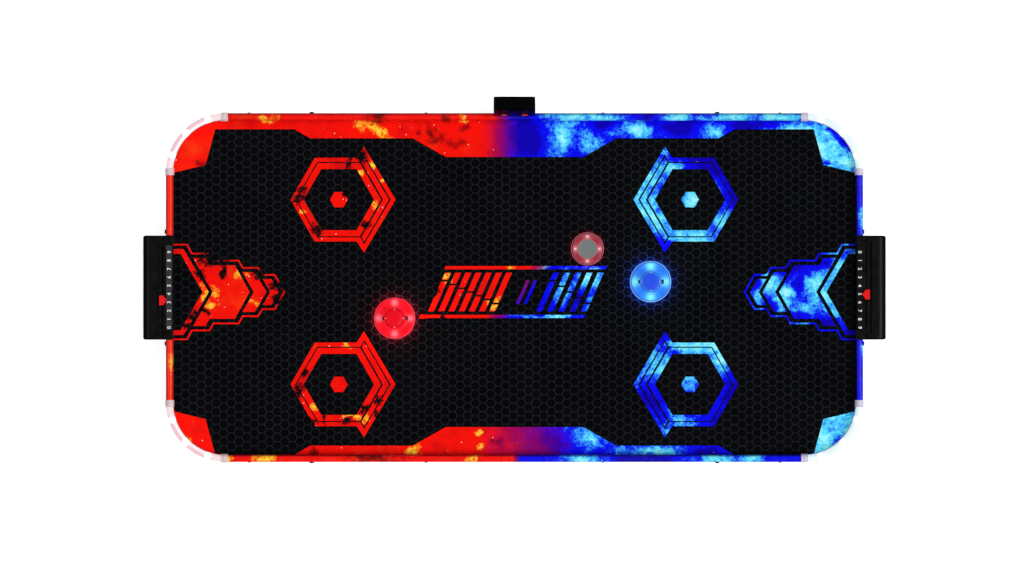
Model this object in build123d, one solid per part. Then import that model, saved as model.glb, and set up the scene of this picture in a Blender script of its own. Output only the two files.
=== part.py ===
from build123d import *
import os
from math import asin, atan2, cos, degrees, radians, sin

# Tabletop air hockey game. Millimetres: X runs along the table, Y across it, Z up from the surface
# that the rubber feet stand on. "far" is the +Y side, with the control box; "left" is -X.
# Pieces are built about the middle of the playfield, and write() moves them so that the origin is
# the middle of the whole object's footprint.

# Overall plan
RAIL_LENGTH = 1219.0
RAIL_WIDTH = 610.0
CORNER_R = 104.0
RAIL_W = 13.0
LIGHT_W = 12.0

# Heights
FOOT_H = 9.0
PANEL_T = 3.5
SHELF_Z = 80.0
BOARD_T = 5.0
PRINT_T = 1.0
RAIL_BASE_Z = 88.0
RAIL_TOP_Z = 104.0
FRAME_Z = FOOT_H + PANEL_T
FIELD_Z = SHELF_Z + BOARD_T + PRINT_T

# Frame
APRON_T = 12.0
TONGUE_W = 6.0
TONGUE_H = 6.0
CLEAT = 15.0
BRACE_X = 356.0
SCREW_X = (155.0, 465.0)
END_BOLT_Y = 98.0
BOLT_Z = 50.0
SHAFT_GAP = 0.1

# Air holes in the playfield
HOLE_PITCH = 38.1
HOLE_R = 0.8
HOLES_ALONG = 30
HOLES_ACROSS = 14

# Goal boxes, with the number strip and the score slider
GOAL_OUT_X = 649.5
GOAL_IN_X = 598.0
GOAL_HALF = 91.0
GOAL_TOP_Z = 107.0
GOAL_FLOOR_Z = 38.0
GOAL_WALL = 2.5
GOAL_ROLL_R = 13.0
MOUTH_HALF = 76.0
MOUTH_Z = 84.0
DECK_Z = 102.5
DECK_T = 2.0
TRACK_OUT_X = 624.5
TRACK_HALF = 80.0
STRIP_OUT_X = 609.0
SLOT_X = 615.0
SLOT_W = 2.0
SLOT_HALF = 73.3
SLIDER_REST_Y = {"left": -22.3, "right": -12.0}

# Control box on the far apron
BOX_HALF = 36.35
BOX_FAR_Y = 333.2
BOX_Z = (52.0, 130.0)
BOX_WALL = 2.5
PANEL_FOOT = (299.5, 104.3)
PANEL_HEAD = (312.3, 130.0)
SWITCH_X = 18.0
SWITCH_R = 9.8
BEZEL_R = 10.6
BEZEL_T = 1.6
ROCKER_W = 10.5
ROCKER_R = 7.5
ROCKER_TILT = 12.0
PIVOT_DEPTH = 1.4

# Fan
FAN_IN_R = 56.0
FAN_OUT_R = 60.0
FAN_SQUARE = 124.0
FAN_SCREW = 52.5
OPENING_R = 52.0
SHAFT_R = 1.5

# Strikers and puck, at their places on the field
PUSHER_R = 36.0
PUSHERS = {"red": (-209.6, -53.7), "blue": (238.0, 10.3)}
PUCK_R = 28.5
PUCK_AT = (127.6, 67.8)
PUCK_T = 9.0

MID_X = (RAIL_LENGTH - RAIL_W) / 2
MID_Y = (RAIL_WIDTH - RAIL_W) / 2
CORNER_X = RAIL_LENGTH / 2 - CORNER_R
CORNER_Y = RAIL_WIDTH / 2 - CORNER_R
APRON_IN_X = MID_X - APRON_T / 2
APRON_IN_Y = MID_Y - APRON_T / 2
APRON_OUT_X = MID_X + APRON_T / 2
APRON_OUT_Y = MID_Y + APRON_T / 2
CORNERS = {"right_far": (1, 1, 0), "left_far": (-1, 1, 90),
           "left_near": (-1, -1, 180), "right_near": (1, -1, 270)}
ENDS = {"left": 0, "right": 180}
SIDES = {"far": 1, "near": -1}

HEAD_R = 4.2
HEAD_H = 4.0
SCREW_HEAD_R = 2.6
SCREW_HEAD_H = 2.4
SHAFT_LONG = {"apron_screw": 24.0, "end_bolt": 24.0, "brace_bolt": 40.0}
CENTRE_Y = -(BOX_FAR_Y - (APRON_OUT_Y + HEAD_H)) / 2


def write(name, shape):
    """One node, moved so that the origin is the middle of the footprint."""
    export_step(Pos(0, CENTRE_Y, 0) * shape, f"parts/{name}.step")


def block(x0, x1, y0, y1, z0, z1):
    return Pos((x0 + x1) / 2, (y0 + y1) / 2, (z0 + z1) / 2) * Box(x1 - x0, y1 - y0, z1 - z0)


def disc(radius, z0, z1, x=0.0, y=0.0):
    return Pos(x, y, (z0 + z1) / 2) * Cylinder(radius, z1 - z0)


def group(solids):
    return Compound(children=list(solids))


def turned(points):
    """A closed outline of (radius, z) points turned about Z."""
    return revolve(Plane.XZ * make_face(Polyline(*points, close=True)), Axis.Z)


def arc_bar(profile):
    """A profile in (radius, z) swept through a quarter turn about Z."""
    return revolve(Plane.XZ * profile, Axis.Z, 90)


def at_corner(shape, corner):
    along, across, turn = CORNERS[corner]
    return Pos(along * CORNER_X, across * CORNER_Y, 0) * Rot(0, 0, turn) * shape


def bullnose(width, base, top, centre=0.0):
    """A bar section with upright sides and a round top."""
    flat = Pos(centre, (base + top - width / 2) / 2) * Rectangle(width, top - width / 2 - base)
    return flat + Pos(centre, top - width / 2) * Circle(width / 2)


def bar_along_x(profile, x0, x1):
    return Pos(x0, 0, 0) * extrude(Plane.YZ * profile, x1 - x0)


def bar_along_y(profile, y0, y1):
    """A section in (x, z) extruded from y0 to y1."""
    return Pos(0, y1, 0) * extrude(Plane.XZ * profile, y1 - y0)


def rounded_slab(length, width, radius, z0, z1):
    return Pos(0, 0, z0) * extrude(RectangleRounded(length, width, radius), z1 - z0)


# Fasteners: a domed head on the outer face of an apron, with a plain shaft behind it

def fastener(head_r, head_h, shaft_r, shaft_long):
    """Along +X: the domed head is on the +X side of x = 0 and the shaft runs towards -X."""
    ball_r = (head_r**2 + head_h**2) / (2 * head_h)
    half = asin(head_r / ball_r) / 2
    middle = (ball_r * sin(half), head_h - ball_r * (1 - cos(half)))
    shaft = Polyline((0, head_h), (0, -shaft_long), (shaft_r, -shaft_long), (shaft_r, 0), (head_r, 0))
    dome = ThreePointArc((head_r, 0), middle, (0, head_h))
    return Rot(0, 90, 0) * revolve(Plane.XZ * make_face(shaft + dome), Axis.Z)


def apron_fasteners(kind, head_r, head_h, shaft_r):
    """All fasteners of one kind; a head_h of 0 gives their clearance holes."""
    turn_of = {1: 90, -1: -90}
    one = {k: fastener(head_r, head_h, shaft_r, n) if head_h else shaft_hole(shaft_r, n)
           for k, n in SHAFT_LONG.items()}
    if kind == "screws":
        return [Pos(x, s * APRON_OUT_Y, SHELF_Z - CLEAT / 2) * Rot(0, 0, turn_of[s]) * one["apron_screw"]
                for s in (1, -1) for px in SCREW_X for x in (px, -px)]
    braces = [Pos(x, s * APRON_OUT_Y, BOLT_Z) * Rot(0, 0, turn_of[s]) * one["brace_bolt"]
              for s in (1, -1) for x in (BRACE_X, -BRACE_X)]
    turn_of = {1: 0, -1: 180}
    ends = [Pos(s * APRON_OUT_X, y, SHELF_Z - CLEAT / 2) * Rot(0, 0, turn_of[s]) * one["end_bolt"]
            for s in (1, -1) for y in (END_BOLT_Y, -END_BOLT_Y)]
    return braces + ends


def shaft_hole(shaft_r, shaft_long):
    reach = shaft_long + 2
    return Pos(1 - reach / 2, 0, 0) * Rot(0, 90, 0) * Cylinder(shaft_r + SHAFT_GAP, reach)


SCREW_SHAFT_R = 1.6
BOLT_SHAFT_R = 2.6
SCREW_HOLES = apron_fasteners("screws", 0, 0, SCREW_SHAFT_R)
BOLT_HOLES = apron_fasteners("bolts", 0, 0, BOLT_SHAFT_R)


# Frame

def long_apron(side):
    wall = block(-CORNER_X, CORNER_X, APRON_IN_Y, APRON_OUT_Y, FRAME_Z, RAIL_BASE_Z)
    y0 = MID_Y - TONGUE_W / 2
    body = wall + block(-CORNER_X, CORNER_X, y0, y0 + TONGUE_W, RAIL_BASE_Z, RAIL_BASE_Z + TONGUE_H)
    if side < 0:
        body = Rot(0, 0, 180) * body
    return body - SCREW_HOLES - BOLT_HOLES


def end_apron(turn):
    wall = block(-APRON_OUT_X, -APRON_IN_X, -CORNER_Y, CORNER_Y, FRAME_Z, RAIL_BASE_Z)
    wall -= block(-APRON_OUT_X - 1, -APRON_IN_X + 1, -MOUTH_HALF, MOUTH_HALF, MOUTH_Z, RAIL_BASE_Z + 1)
    x0 = -MID_X - TONGUE_W / 2
    for y0, y1 in ((-CORNER_Y, -GOAL_HALF), (GOAL_HALF, CORNER_Y)):
        wall += block(x0, x0 + TONGUE_W, y0, y1, RAIL_BASE_Z, RAIL_BASE_Z + TONGUE_H)
    return Rot(0, 0, turn) * wall - BOLT_HOLES


def corner_post():
    """A rounded corner wall with a shelf behind it that carries the playfield and a foot."""
    inner = CORNER_R - 0.5 - APRON_T
    wall = Pos(inner + APRON_T / 2, (FRAME_Z + FIELD_Z) / 2) * Rectangle(APRON_T, FIELD_Z - FRAME_Z)
    shelf_w = 30.0
    shelf = Pos(inner - shelf_w / 2, (FRAME_Z + SHELF_Z) / 2) * Rectangle(shelf_w, SHELF_Z - FRAME_Z)
    post = arc_bar(wall + shelf)
    x, y = foot_in_corner()
    return post - disc(FOOT_SCREW_R + SHAFT_GAP, FRAME_Z - 1, FRAME_Z + FOOT_SCREW_BITE + 1, x, y)


def cross_brace():
    """Spans the table under the playfield, stepped under the long cleats, with holes for the air."""
    inner = APRON_IN_Y - CLEAT
    low = SHELF_Z - CLEAT
    brace = block(-APRON_T / 2, APRON_T / 2, -inner, inner, FRAME_Z, SHELF_Z)
    brace += block(-APRON_T / 2, APRON_T / 2, -APRON_IN_Y, APRON_IN_Y, FRAME_Z, low)
    vent = Rot(0, 90, 0) * Cylinder(17.0, APRON_T + 2)
    return brace - [Pos(0, y, (FRAME_Z + SHELF_Z) / 2) * vent for y in (-120.0, -40.0, 40.0, 120.0)]


def braces():
    pair = [Pos(x, 0, 0) * cross_brace() for x in (-BRACE_X, BRACE_X)]
    holes = BOLT_HOLES + [disc(FOOT_SCREW_R + SHAFT_GAP, FRAME_Z - 1, FRAME_Z + FOOT_SCREW_BITE + 1, x, y)
                          for x, y in BRACE_FEET]
    return group(b - holes for b in pair)


def cleats():
    z0 = SHELF_Z - CLEAT
    sticks = []
    for s in (1, -1):
        y = s * (APRON_IN_Y - CLEAT / 2)
        sticks.append(Pos(0, y, z0 + CLEAT / 2) * Box(2 * CORNER_X - 40, CLEAT, CLEAT) - SCREW_HOLES)
        x = s * (APRON_IN_X - CLEAT / 2)
        for t in (1, -1):
            sticks.append(Pos(x, t * 137.0, z0 + CLEAT / 2) * Box(CLEAT, 114.0, CLEAT) - BOLT_HOLES)
    return group(sticks)


# Playfield

def perforated(z0, z1):
    """A sheet of the playfield's outline with the grid of air holes."""
    outline = RectangleRounded(2 * APRON_IN_X, 2 * APRON_IN_Y, CORNER_R - 0.5 - APRON_T).face()
    grid = GridLocations(HOLE_PITCH, HOLE_PITCH, HOLES_ALONG, HOLES_ACROSS)
    holes = [Wire.make_circle(HOLE_R, Plane(place)) for place in grid]
    sheet = Face(outline.outer_wire(), holes)
    return Pos(0, 0, z0) * extrude(sheet, z1 - z0, dir=(0, 0, 1))


# Rails along the top of the aprons, the lit corners and the sleeves that join them

def straight_rail(length):
    """Along +X from x = 0, over the apron's tongue."""
    profile = bullnose(RAIL_W, RAIL_BASE_Z, RAIL_TOP_Z)
    groove_top = RAIL_BASE_Z + TONGUE_H
    profile -= Pos(0, (RAIL_BASE_Z + groove_top) / 2) * Rectangle(TONGUE_W + 2 * SHAFT_GAP, TONGUE_H)
    return bar_along_x(profile, 0, length)


def long_rail(side):
    rail = Pos(-CORNER_X, MID_Y, 0) * straight_rail(2 * CORNER_X)
    return rail if side > 0 else Rot(0, 0, 180) * rail


def end_rail(corner):
    along, across, _ = CORNERS[corner]
    rail = Rot(0, 0, 90) * straight_rail(CORNER_Y - GOAL_HALF)
    y = GOAL_HALF if across > 0 else -CORNER_Y
    return Pos(along * MID_X, y, 0) * rail


LED_ANGLES = (18.0, 45.0, 72.0)
LIGHT_R = CORNER_R - LIGHT_W / 2
CHANNEL_W = 6.0
CHANNEL_H = 7.0


def corner_light():
    """The translucent quarter-round rail, with a channel under it for the light strip."""
    profile = bullnose(LIGHT_W, FIELD_Z, RAIL_TOP_Z - 0.5, LIGHT_R)
    profile -= Pos(LIGHT_R, FIELD_Z + CHANNEL_H / 2) * Rectangle(CHANNEL_W, CHANNEL_H)
    return arc_bar(profile)


def light_strip():
    tape_t = 0.8
    tape_w = 4.0
    tape = Pos(LIGHT_R, FIELD_Z + tape_t / 2) * Rectangle(tape_w, tape_t)
    strip = arc_bar(tape) & Rot(0, 0, 3) * arc_bar(tape) & Rot(0, 0, -3) * arc_bar(tape)
    lamp = Pos(LIGHT_R, 0, FIELD_Z + tape_t + 0.8) * Box(3.2, 5.0, 1.6)
    return strip + [Rot(0, 0, a) * lamp for a in LED_ANGLES]


SLEEVE_W = 15.6
SLEEVE_LONG = 11.9
SLEEVE_SHIFT = 1.6


def sleeve():
    """A white collar over a joint, along +X about the joint, open below."""
    outer = bullnose(SLEEVE_W, RAIL_BASE_Z, RAIL_TOP_Z + (SLEEVE_W - RAIL_W) / 2)
    inner = bullnose(RAIL_W + 2 * SHAFT_GAP, RAIL_BASE_Z - 1, RAIL_TOP_Z + SHAFT_GAP)
    return bar_along_x(outer - inner, -SLEEVE_LONG / 2, SLEEVE_LONG / 2)


def sleeves():
    """Two at each corner, set a little further over the light than over the straight rail."""
    x = CORNER_X + SLEEVE_SHIFT
    y = CORNER_Y + SLEEVE_SHIFT
    collars = []
    for along, across, _ in CORNERS.values():
        collars.append(Pos(along * x, across * MID_Y, 0) * sleeve())
        collars.append(Pos(along * MID_X, across * y, 0) * Rot(0, 0, 90) * sleeve())
    return group(collars)


# Goal boxes. Each is built for the left end and turned about Z for the right one.

def goal_cover():
    """The outside of the box: its top rolls over into the outer wall."""
    outer = block(-GOAL_OUT_X, -APRON_OUT_X, -GOAL_HALF, GOAL_HALF, GOAL_FLOOR_Z, GOAL_TOP_Z)
    outer = fillet(outer.faces().sort_by(Axis.Z)[-1].edges().sort_by(Axis.X)[0], GOAL_ROLL_R)
    outer = fillet(outer.edges().filter_by(Axis.Z).group_by(Axis.X)[0], 4.0)
    return outer + block(-APRON_OUT_X, -GOAL_IN_X, -GOAL_HALF, GOAL_HALF, RAIL_BASE_Z, GOAL_TOP_Z)


def goal_box():
    box = goal_cover()
    under = DECK_Z - DECK_T
    over = GOAL_TOP_Z + 1
    half = MOUTH_HALF
    inner_x = -GOAL_OUT_X + GOAL_WALL
    inner_y = GOAL_HALF - GOAL_WALL
    box -= block(-TRACK_OUT_X, -STRIP_OUT_X, -TRACK_HALF, TRACK_HALF, DECK_Z, over)
    box -= block(-STRIP_OUT_X - 1, -GOAL_IN_X + 1, -half + 1, half - 1, DECK_Z, over)
    box -= block(inner_x, -APRON_OUT_X + 1, -half, half, RAIL_BASE_Z - 1, GOAL_TOP_Z - GOAL_ROLL_R - 1)
    box -= block(inner_x + 7.5, -APRON_OUT_X + 1, -half, half, RAIL_BASE_Z - 1, under)
    box -= block(inner_x, -APRON_OUT_X + 1, -inner_y, inner_y, GOAL_FLOOR_Z + GOAL_WALL, RAIL_BASE_Z)
    box -= block(inner_x + 11, -TRACK_OUT_X - GOAL_WALL, -half, half, under - 1, GOAL_TOP_Z - GOAL_WALL)
    box -= block(-APRON_OUT_X, -GOAL_IN_X + 1, -half, half, RAIL_BASE_Z - 1, under)
    box -= block(-SLOT_X - SLOT_W / 2, -SLOT_X + SLOT_W / 2, -SLOT_HALF, SLOT_HALF, under - 1, over)
    for y in (-85.0, 85.0):
        box -= block(-SLOT_X - 1.8, -SLOT_X + 1.8, y - 3.5, y + 3.5, GOAL_TOP_Z - 3.0, over)
    window = extrude(RectangleRounded(34.0, 96.0, 8.0), 8.0, both=True)
    return box - Pos(-GOAL_OUT_X, 0, 62.0) * Rot(0, 90, 0) * window


def score_strip():
    half = MOUTH_HALF - 1.5
    return block(-STRIP_OUT_X, -GOAL_IN_X - 0.6, -half, half, DECK_Z, DECK_Z + 2.0)


def score_slider():
    """Pointer plate with a chamfered nose towards the numbers, a neck in the slot and a foot below."""
    half = 8.6
    back = -621.0
    plate_z = DECK_Z + 2.3
    top_z = DECK_Z + 5.8
    nose = [(back, -half), (-613.6, -half), (-610.8, -4.5), (-607.5, 0), (-610.8, 4.5), (-613.6, half),
            (back, half)]
    plate = Pos(0, 0, plate_z) * extrude(make_face(Polyline(*nose, close=True)), top_z - plate_z)
    skid = block(back + 0.5, -613.0, -7.0, 7.0, DECK_Z + 0.2, plate_z)
    reach = DECK_Z - DECK_T - 0.2
    neck = block(-SLOT_X - SLOT_W / 2 + 0.2, -SLOT_X + SLOT_W / 2 - 0.2, -3.0, 3.0, reach, DECK_Z + 0.2)
    foot = block(-SLOT_X - 4.0, -SLOT_X + 4.0, -4.5, 4.5, reach - 1.7, reach)
    return plate + skid + neck + foot


def at_end(shape, end, y=0.0):
    turn = ENDS[end]
    return Rot(0, 0, turn) * Pos(0, y if turn == 0 else -y, 0) * shape


# Control box: a housing on the far apron whose front leans over the rail and carries two switches

FRONT_RISE = PANEL_HEAD[1] - PANEL_FOOT[1]
FRONT_RUN = PANEL_HEAD[0] - PANEL_FOOT[0]
FRONT_SLOPE = degrees(atan2(FRONT_RISE, FRONT_RUN))
FRONT_MID = ((PANEL_FOOT[0] + PANEL_HEAD[0]) / 2, (PANEL_FOOT[1] + PANEL_HEAD[1]) / 2)


def on_front(shape, x):
    """Places a shape built with +Y up the sloping front and +Z out of it."""
    return Pos(x, *FRONT_MID) * Rot(FRONT_SLOPE, 0, 0) * shape


def control_box():
    z0, z1 = BOX_Z
    rail_gap_y = RAIL_WIDTH / 2 + 0.3
    outline = [(APRON_OUT_Y, z0), (BOX_FAR_Y, z0), (BOX_FAR_Y, z1), PANEL_HEAD, PANEL_FOOT,
               (rail_gap_y, PANEL_FOOT[1]), (rail_gap_y, RAIL_BASE_Z), (APRON_OUT_Y, RAIL_BASE_Z)]
    shell = bar_along_x(make_face(Polyline(*outline, close=True)), -BOX_HALF, BOX_HALF)
    shell = fillet(shell.edges().filter_by(Axis.Z).group_by(Axis.Y)[-1], 2.5)
    shell = fillet(shell.edges().filter_by(Axis.X).sort_by_distance((0, *PANEL_HEAD))[0], 5.0)
    wall = BOX_WALL
    lean = wall / sin(radians(FRONT_SLOPE))
    room = [(APRON_OUT_Y - 1, z0 + wall), (BOX_FAR_Y - wall, z0 + wall), (BOX_FAR_Y - wall, z1 - wall),
            (PANEL_HEAD[0] + lean, z1 - wall), (PANEL_FOOT[0] + lean + 4.0, PANEL_FOOT[1] + wall),
            (rail_gap_y + wall, RAIL_BASE_Z - wall), (APRON_OUT_Y - 1, RAIL_BASE_Z - wall)]
    shell -= bar_along_x(make_face(Polyline(*room, close=True)), -BOX_HALF + wall, BOX_HALF - wall)
    for x in (-SWITCH_X, SWITCH_X):
        shell -= on_front(Cylinder(SWITCH_R + 0.2, 16.0), x)
    return shell - disc(JACK_R + SHAFT_GAP, z0 - 1, z0 + wall + 1, 0, JACK_Y)


def switch_body(x):
    """A round snap-in switch: flange, barrel, rocker well with two bearing holes, and terminals."""
    barrel_long = 13.0
    body = disc(BEZEL_R, 0, BEZEL_T) + disc(SWITCH_R, -barrel_long, 0)
    well_long = 2 * (ROCKER_R + 0.35)
    well_deep = 10.0
    body -= Pos(0, 0, BEZEL_T - well_deep / 2 + 1) * Box(ROCKER_W + 0.6, well_long, well_deep + 2)
    body -= Pos(0, 0, -PIVOT_DEPTH) * Rot(0, 90, 0) * Cylinder(PIN_R + 0.05, ROCKER_W + 3.2)
    for y in (-5.0, 5.0):
        body += Pos(0, y, -barrel_long - 2.0) * Box(4.0, 0.8, 4.0)
    return on_front(body, x)


PIN_R = 1.0


def rocker(x):
    """The red rocker on its pivot, with the upper half pressed in."""
    crest = 2.0
    tip = 4.0
    side = [(-ROCKER_R, -5.0), (ROCKER_R, -5.0), (ROCKER_R, tip), (0, crest), (-ROCKER_R, tip)]
    slab = bar_along_x(make_face(Polyline(*side, close=True)), -ROCKER_W / 2, ROCKER_W / 2)
    slab &= Rot(0, 90, 0) * Cylinder(ROCKER_R, ROCKER_W)
    slab += Rot(0, 90, 0) * Cylinder(PIN_R, ROCKER_W + 2.8)
    return on_front(Pos(0, 0, -PIVOT_DEPTH) * Rot(-ROCKER_TILT, 0, 0) * slab, x)


JACK_R = 5.5
JACK_Y = 318.0


def power_jack():
    """A barrel socket in the underside of the control box, with its centre pin."""
    z0 = BOX_Z[0]
    body = disc(JACK_R, z0, z0 + 14, 0, JACK_Y) + disc(7.0, z0 - 1.5, z0, 0, JACK_Y)
    body -= disc(2.85, z0 - 2, z0 + 9, 0, JACK_Y)
    return body + disc(1.0, z0, z0 + 9, 0, JACK_Y)


def control_board():
    back = BOX_FAR_Y - BOX_WALL
    board = block(-30, 30, back - 4.6, back - 3.0, 62, 96)
    post = Rot(90, 0, 0) * Cylinder(2.0, 3.0)
    posts = [Pos(x, back - 1.5, z) * post for x in (-26, 26) for z in (66, 92)]
    front = back - 4.6
    parts = [block(-24, -10, front - 6, front, 70, 80), block(8, 14, front - 4, front, 66, 76),
             block(-4, 4, front - 2, front, 84, 92)]
    can = Pos(20, front - 5, 84) * Rot(90, 0, 0) * Cylinder(4.0, 10.0)
    return board + posts + parts + can


# Bottom panel, feet and fan

def foot_in_corner():
    r = CORNER_R - 20.0
    return r * cos(radians(45)), r * sin(radians(45))


FOOT_SCREW_R = 1.75
FOOT_SCREW_BITE = 14.0
BRACE_FEET = [(x, y) for x in (-BRACE_X, BRACE_X) for y in (-205.0, 205.0)]
CORNER_FEET = [(sx * (CORNER_X + foot_in_corner()[0]), sy * (CORNER_Y + foot_in_corner()[1]))
               for sx, sy, _ in CORNERS.values()]
FEET = CORNER_FEET + BRACE_FEET
FAN_SCREWS = [(x, y) for x in (-FAN_SCREW, FAN_SCREW) for y in (-FAN_SCREW, FAN_SCREW)]


def bottom_panel():
    panel = rounded_slab(2 * APRON_OUT_X - 6, 2 * APRON_OUT_Y - 6, CORNER_R - 3.5, FOOT_H, FRAME_Z)
    holes = [disc(FOOT_SCREW_R + SHAFT_GAP, FOOT_H - 1, FRAME_Z + 1, x, y) for x, y in FEET + FAN_SCREWS]
    return panel - disc(OPENING_R, FOOT_H - 1, FRAME_Z + 1) - holes


def feet():
    """Tapered rubber feet with a recess for the screw head."""
    profile = [(4.5, 0), (13.0, 0), (15.0, 2.0), (15.0, FOOT_H), (1.9, FOOT_H), (1.9, 5.5), (4.5, 5.5)]
    foot = turned(profile)
    return group(Pos(x, y, 0) * foot for x, y in FEET)


def underside_screw(head_z, bite_z):
    """A pan-head screw driven up from head_z, the underside of what it holds, to bite_z."""
    head = Pos(0, 0, head_z - 1.2) * Cone(2.6, 3.8, 2.4)
    slot = Pos(0, 0, head_z - 2.4) * (Box(4.0, 0.9, 1.6) + Box(0.9, 4.0, 1.6))
    return head - slot + disc(FOOT_SCREW_R, head_z, bite_z)


GUARD_T = 2.2
DIAGONALS = (45, 135, 225, 315)


def underside_screws():
    foot_screw = underside_screw(5.5, FRAME_Z + FOOT_SCREW_BITE)
    fan_screw = underside_screw(FOOT_H - GUARD_T, FRAME_Z + 2.9)
    screws = [Pos(x, y, 0) * foot_screw for x, y in FEET]
    return group(screws + [Pos(x, y, 0) * fan_screw for x, y in FAN_SCREWS])


def fan_guard():
    """Rings and spokes under the fan opening, with four screw lugs."""
    z0 = FOOT_H - GUARD_T
    wire = 1.8
    guard = disc(9.0, z0, FOOT_H)
    for r in (19.0, 29.0, 39.0, 49.0):
        guard += disc(r + wire / 2, z0, FOOT_H) - disc(r - wire / 2, z0 - 1, FOOT_H + 1)
    outer = disc(58.0, z0, FOOT_H) - disc(54.5, z0 - 1, FOOT_H + 1)
    spokes = [Rot(0, 0, a) * block(8.0, 55.5, -wire / 2, wire / 2, z0, FOOT_H) for a in range(0, 360, 45)]
    lug = block(56.0, FAN_SCREW * 2**0.5 + 5.0, -5.0, 5.0, z0, FOOT_H)
    guard = guard + outer + spokes + [Rot(0, 0, a) * lug for a in DIAGONALS]
    return guard - [disc(FOOT_SCREW_R + SHAFT_GAP, z0 - 1, FOOT_H + 1, x, y) for x, y in FAN_SCREWS]


FAN_TOP_Z = 50.0
SEAT_Z = 46.0
MOTOR_R = 13.5


def fan_housing():
    plate = rounded_slab(FAN_SQUARE, FAN_SQUARE, 8.0, FRAME_Z, FRAME_Z + 3.0)
    body = plate + disc(FAN_OUT_R, FRAME_Z, FAN_TOP_Z) - disc(FAN_IN_R, FRAME_Z - 1, FAN_TOP_Z + 1)
    seat = disc(19.0, SEAT_Z, FAN_TOP_Z)
    spoke = block(15.0, FAN_IN_R + 2, -3.0, 3.0, SEAT_Z, FAN_TOP_Z)
    body = body + seat + [Rot(0, 0, a) * spoke for a in DIAGONALS]
    return body - [disc(FOOT_SCREW_R + SHAFT_GAP, FRAME_Z - 1, FRAME_Z + 4, x, y) for x, y in FAN_SCREWS]


def fan_motor():
    """The fixed can under the housing's seat, bored for the shaft."""
    return disc(MOTOR_R, 24.0, SEAT_Z) - disc(SHAFT_R + 0.05, 23.0, 42.0)


def fan_impeller():
    """A cup hub over the motor with pitched blades and the moulded-in shaft."""
    hub_r = 19.0
    base_z = 16.0
    hub = disc(hub_r, base_z, 40.0) - disc(MOTOR_R + 1.5, base_z + 4.0, 41.0)
    hub = fillet(hub.faces().sort_by(Axis.Z)[0].edges(), 2.5)
    tip_r = FAN_IN_R - 1.5
    blade = Pos((hub_r + tip_r) / 2 - 0.5, 0, 29.0) * Rot(38, 0, 0) * Box(tip_r - hub_r + 6, 30.0, 1.8)
    zone = disc(tip_r, 18.5, 39.5) - disc(hub_r - 0.6, 17.0, 41.0)
    blade &= zone
    return hub + [Rot(0, 0, 360 * i / 7) * blade for i in range(7)] + disc(SHAFT_R, base_z + 3, 41.0)


# Strikers ("pushers"): local origin on the axis, at the playfield

SWITCH_AT_R = 21.0
LAMP_R = 28.0


def pusher_shell():
    """A hollow lit cap: rounded shoulder, shallow valley and a domed knob."""
    outer = [(PUSHER_R, 0.8), (PUSHER_R, 9.5), (35.2, 11.4), (33.4, 12.4), (31.5, 12.5), (24.0, 11.4),
             (20.5, 12.2), (18.0, 14.6), (16.8, 18.5), (16.2, 30.0), (14.8, 33.2), (11.5, 35.2),
             (6.0, 36.2), (0, 36.5)]
    inner = [(0, 34.2), (9.5, 33.6), (13.0, 31.5), (14.0, 29.0), (14.6, 18.0), (16.5, 12.6), (20.0, 10.0),
             (24.0, 9.2), (32.0, 10.3), (33.7, 8.5), (33.7, 0.8)]
    shell = turned(outer + inner)
    shell -= Pos(SWITCH_AT_R, 0, 10.0) * Box(4.4, 7.4, 12.0)
    return shell - Pos(-SWITCH_AT_R + 1.0, 0, 10.0) * Box(3.0, 6.0, 12.0)


def pusher_base():
    return disc(33.2, 1.5, 3.7)


def pusher_felt():
    return disc(32.0, 0.0, 1.5)


def pusher_light_board():
    """Circuit board with four lamps, the switch body and a stack of two coin cells."""
    top = 5.3
    board = disc(31.5, 3.7, top)
    lamps = [Rot(0, 0, a) * Pos(LAMP_R, 0, top + 0.9) * Box(5.0, 5.0, 1.8) for a in (0, 90, 180, 270)]
    switch = Pos(SWITCH_AT_R, 0, top + 1.6) * Box(6.0, 9.0, 3.2)
    cell = disc(10.0, top, top + 3.2)
    cells = cell + disc(8.0, top + 3.2, top + 3.6) + Pos(0, 0, 3.6) * cell
    return board + lamps + switch + cells


def pusher_switch():
    """The switch's thumb lever, at the on end of its travel."""
    z0 = 8.5
    lever = Pos(SWITCH_AT_R, -1.6, z0 + 2.5) * Box(3.0, 3.2, 5.0)
    ribs = [Pos(SWITCH_AT_R, -1.6 + dy, z0 + 5.1) * Box(3.0, 0.5, 0.6) for dy in (-1.1, 0.0, 1.1)]
    return lever + ribs


PUSHER_PIECES = {"shell": pusher_shell, "base": pusher_base, "felt": pusher_felt,
                 "light_board": pusher_light_board, "switch": pusher_switch}


# Puck: local origin on the axis, at the playfield

def puck_base():
    return disc(24.6, 0.0, 1.6)


def puck_shell():
    """The lit ring: a low rim round a raised body, recessed in the middle for the cap."""
    outer = [(PUCK_R, 0.3), (PUCK_R, 4.6), (27.9, 5.2), (27.0, 5.2), (26.0, 4.6), (25.2, 8.3),
             (24.5, PUCK_T), (17.2, PUCK_T), (16.7, 8.5), (16.7, 6.2)]
    inner = [(15.2, 6.2), (15.2, 5.0), (23.4, 5.0), (24.8, 3.6), (24.8, 0.3)]
    return turned(outer + inner)


def puck_cap():
    return disc(16.5, 6.2, PUCK_T - 0.4)


def puck_light_board():
    top = 2.6
    board = disc(23.5, 1.6, top)
    lamps = [Rot(0, 0, a) * Pos(21.4, 0, top + 0.6) * Box(3.2, 3.2, 1.2) for a in (0, 90, 180, 270)]
    return board + lamps + disc(8.0, top, top + 3.2)


PUCK_PIECES = {"base": puck_base, "shell": puck_shell, "cap": puck_cap, "light_board": puck_light_board}


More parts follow.
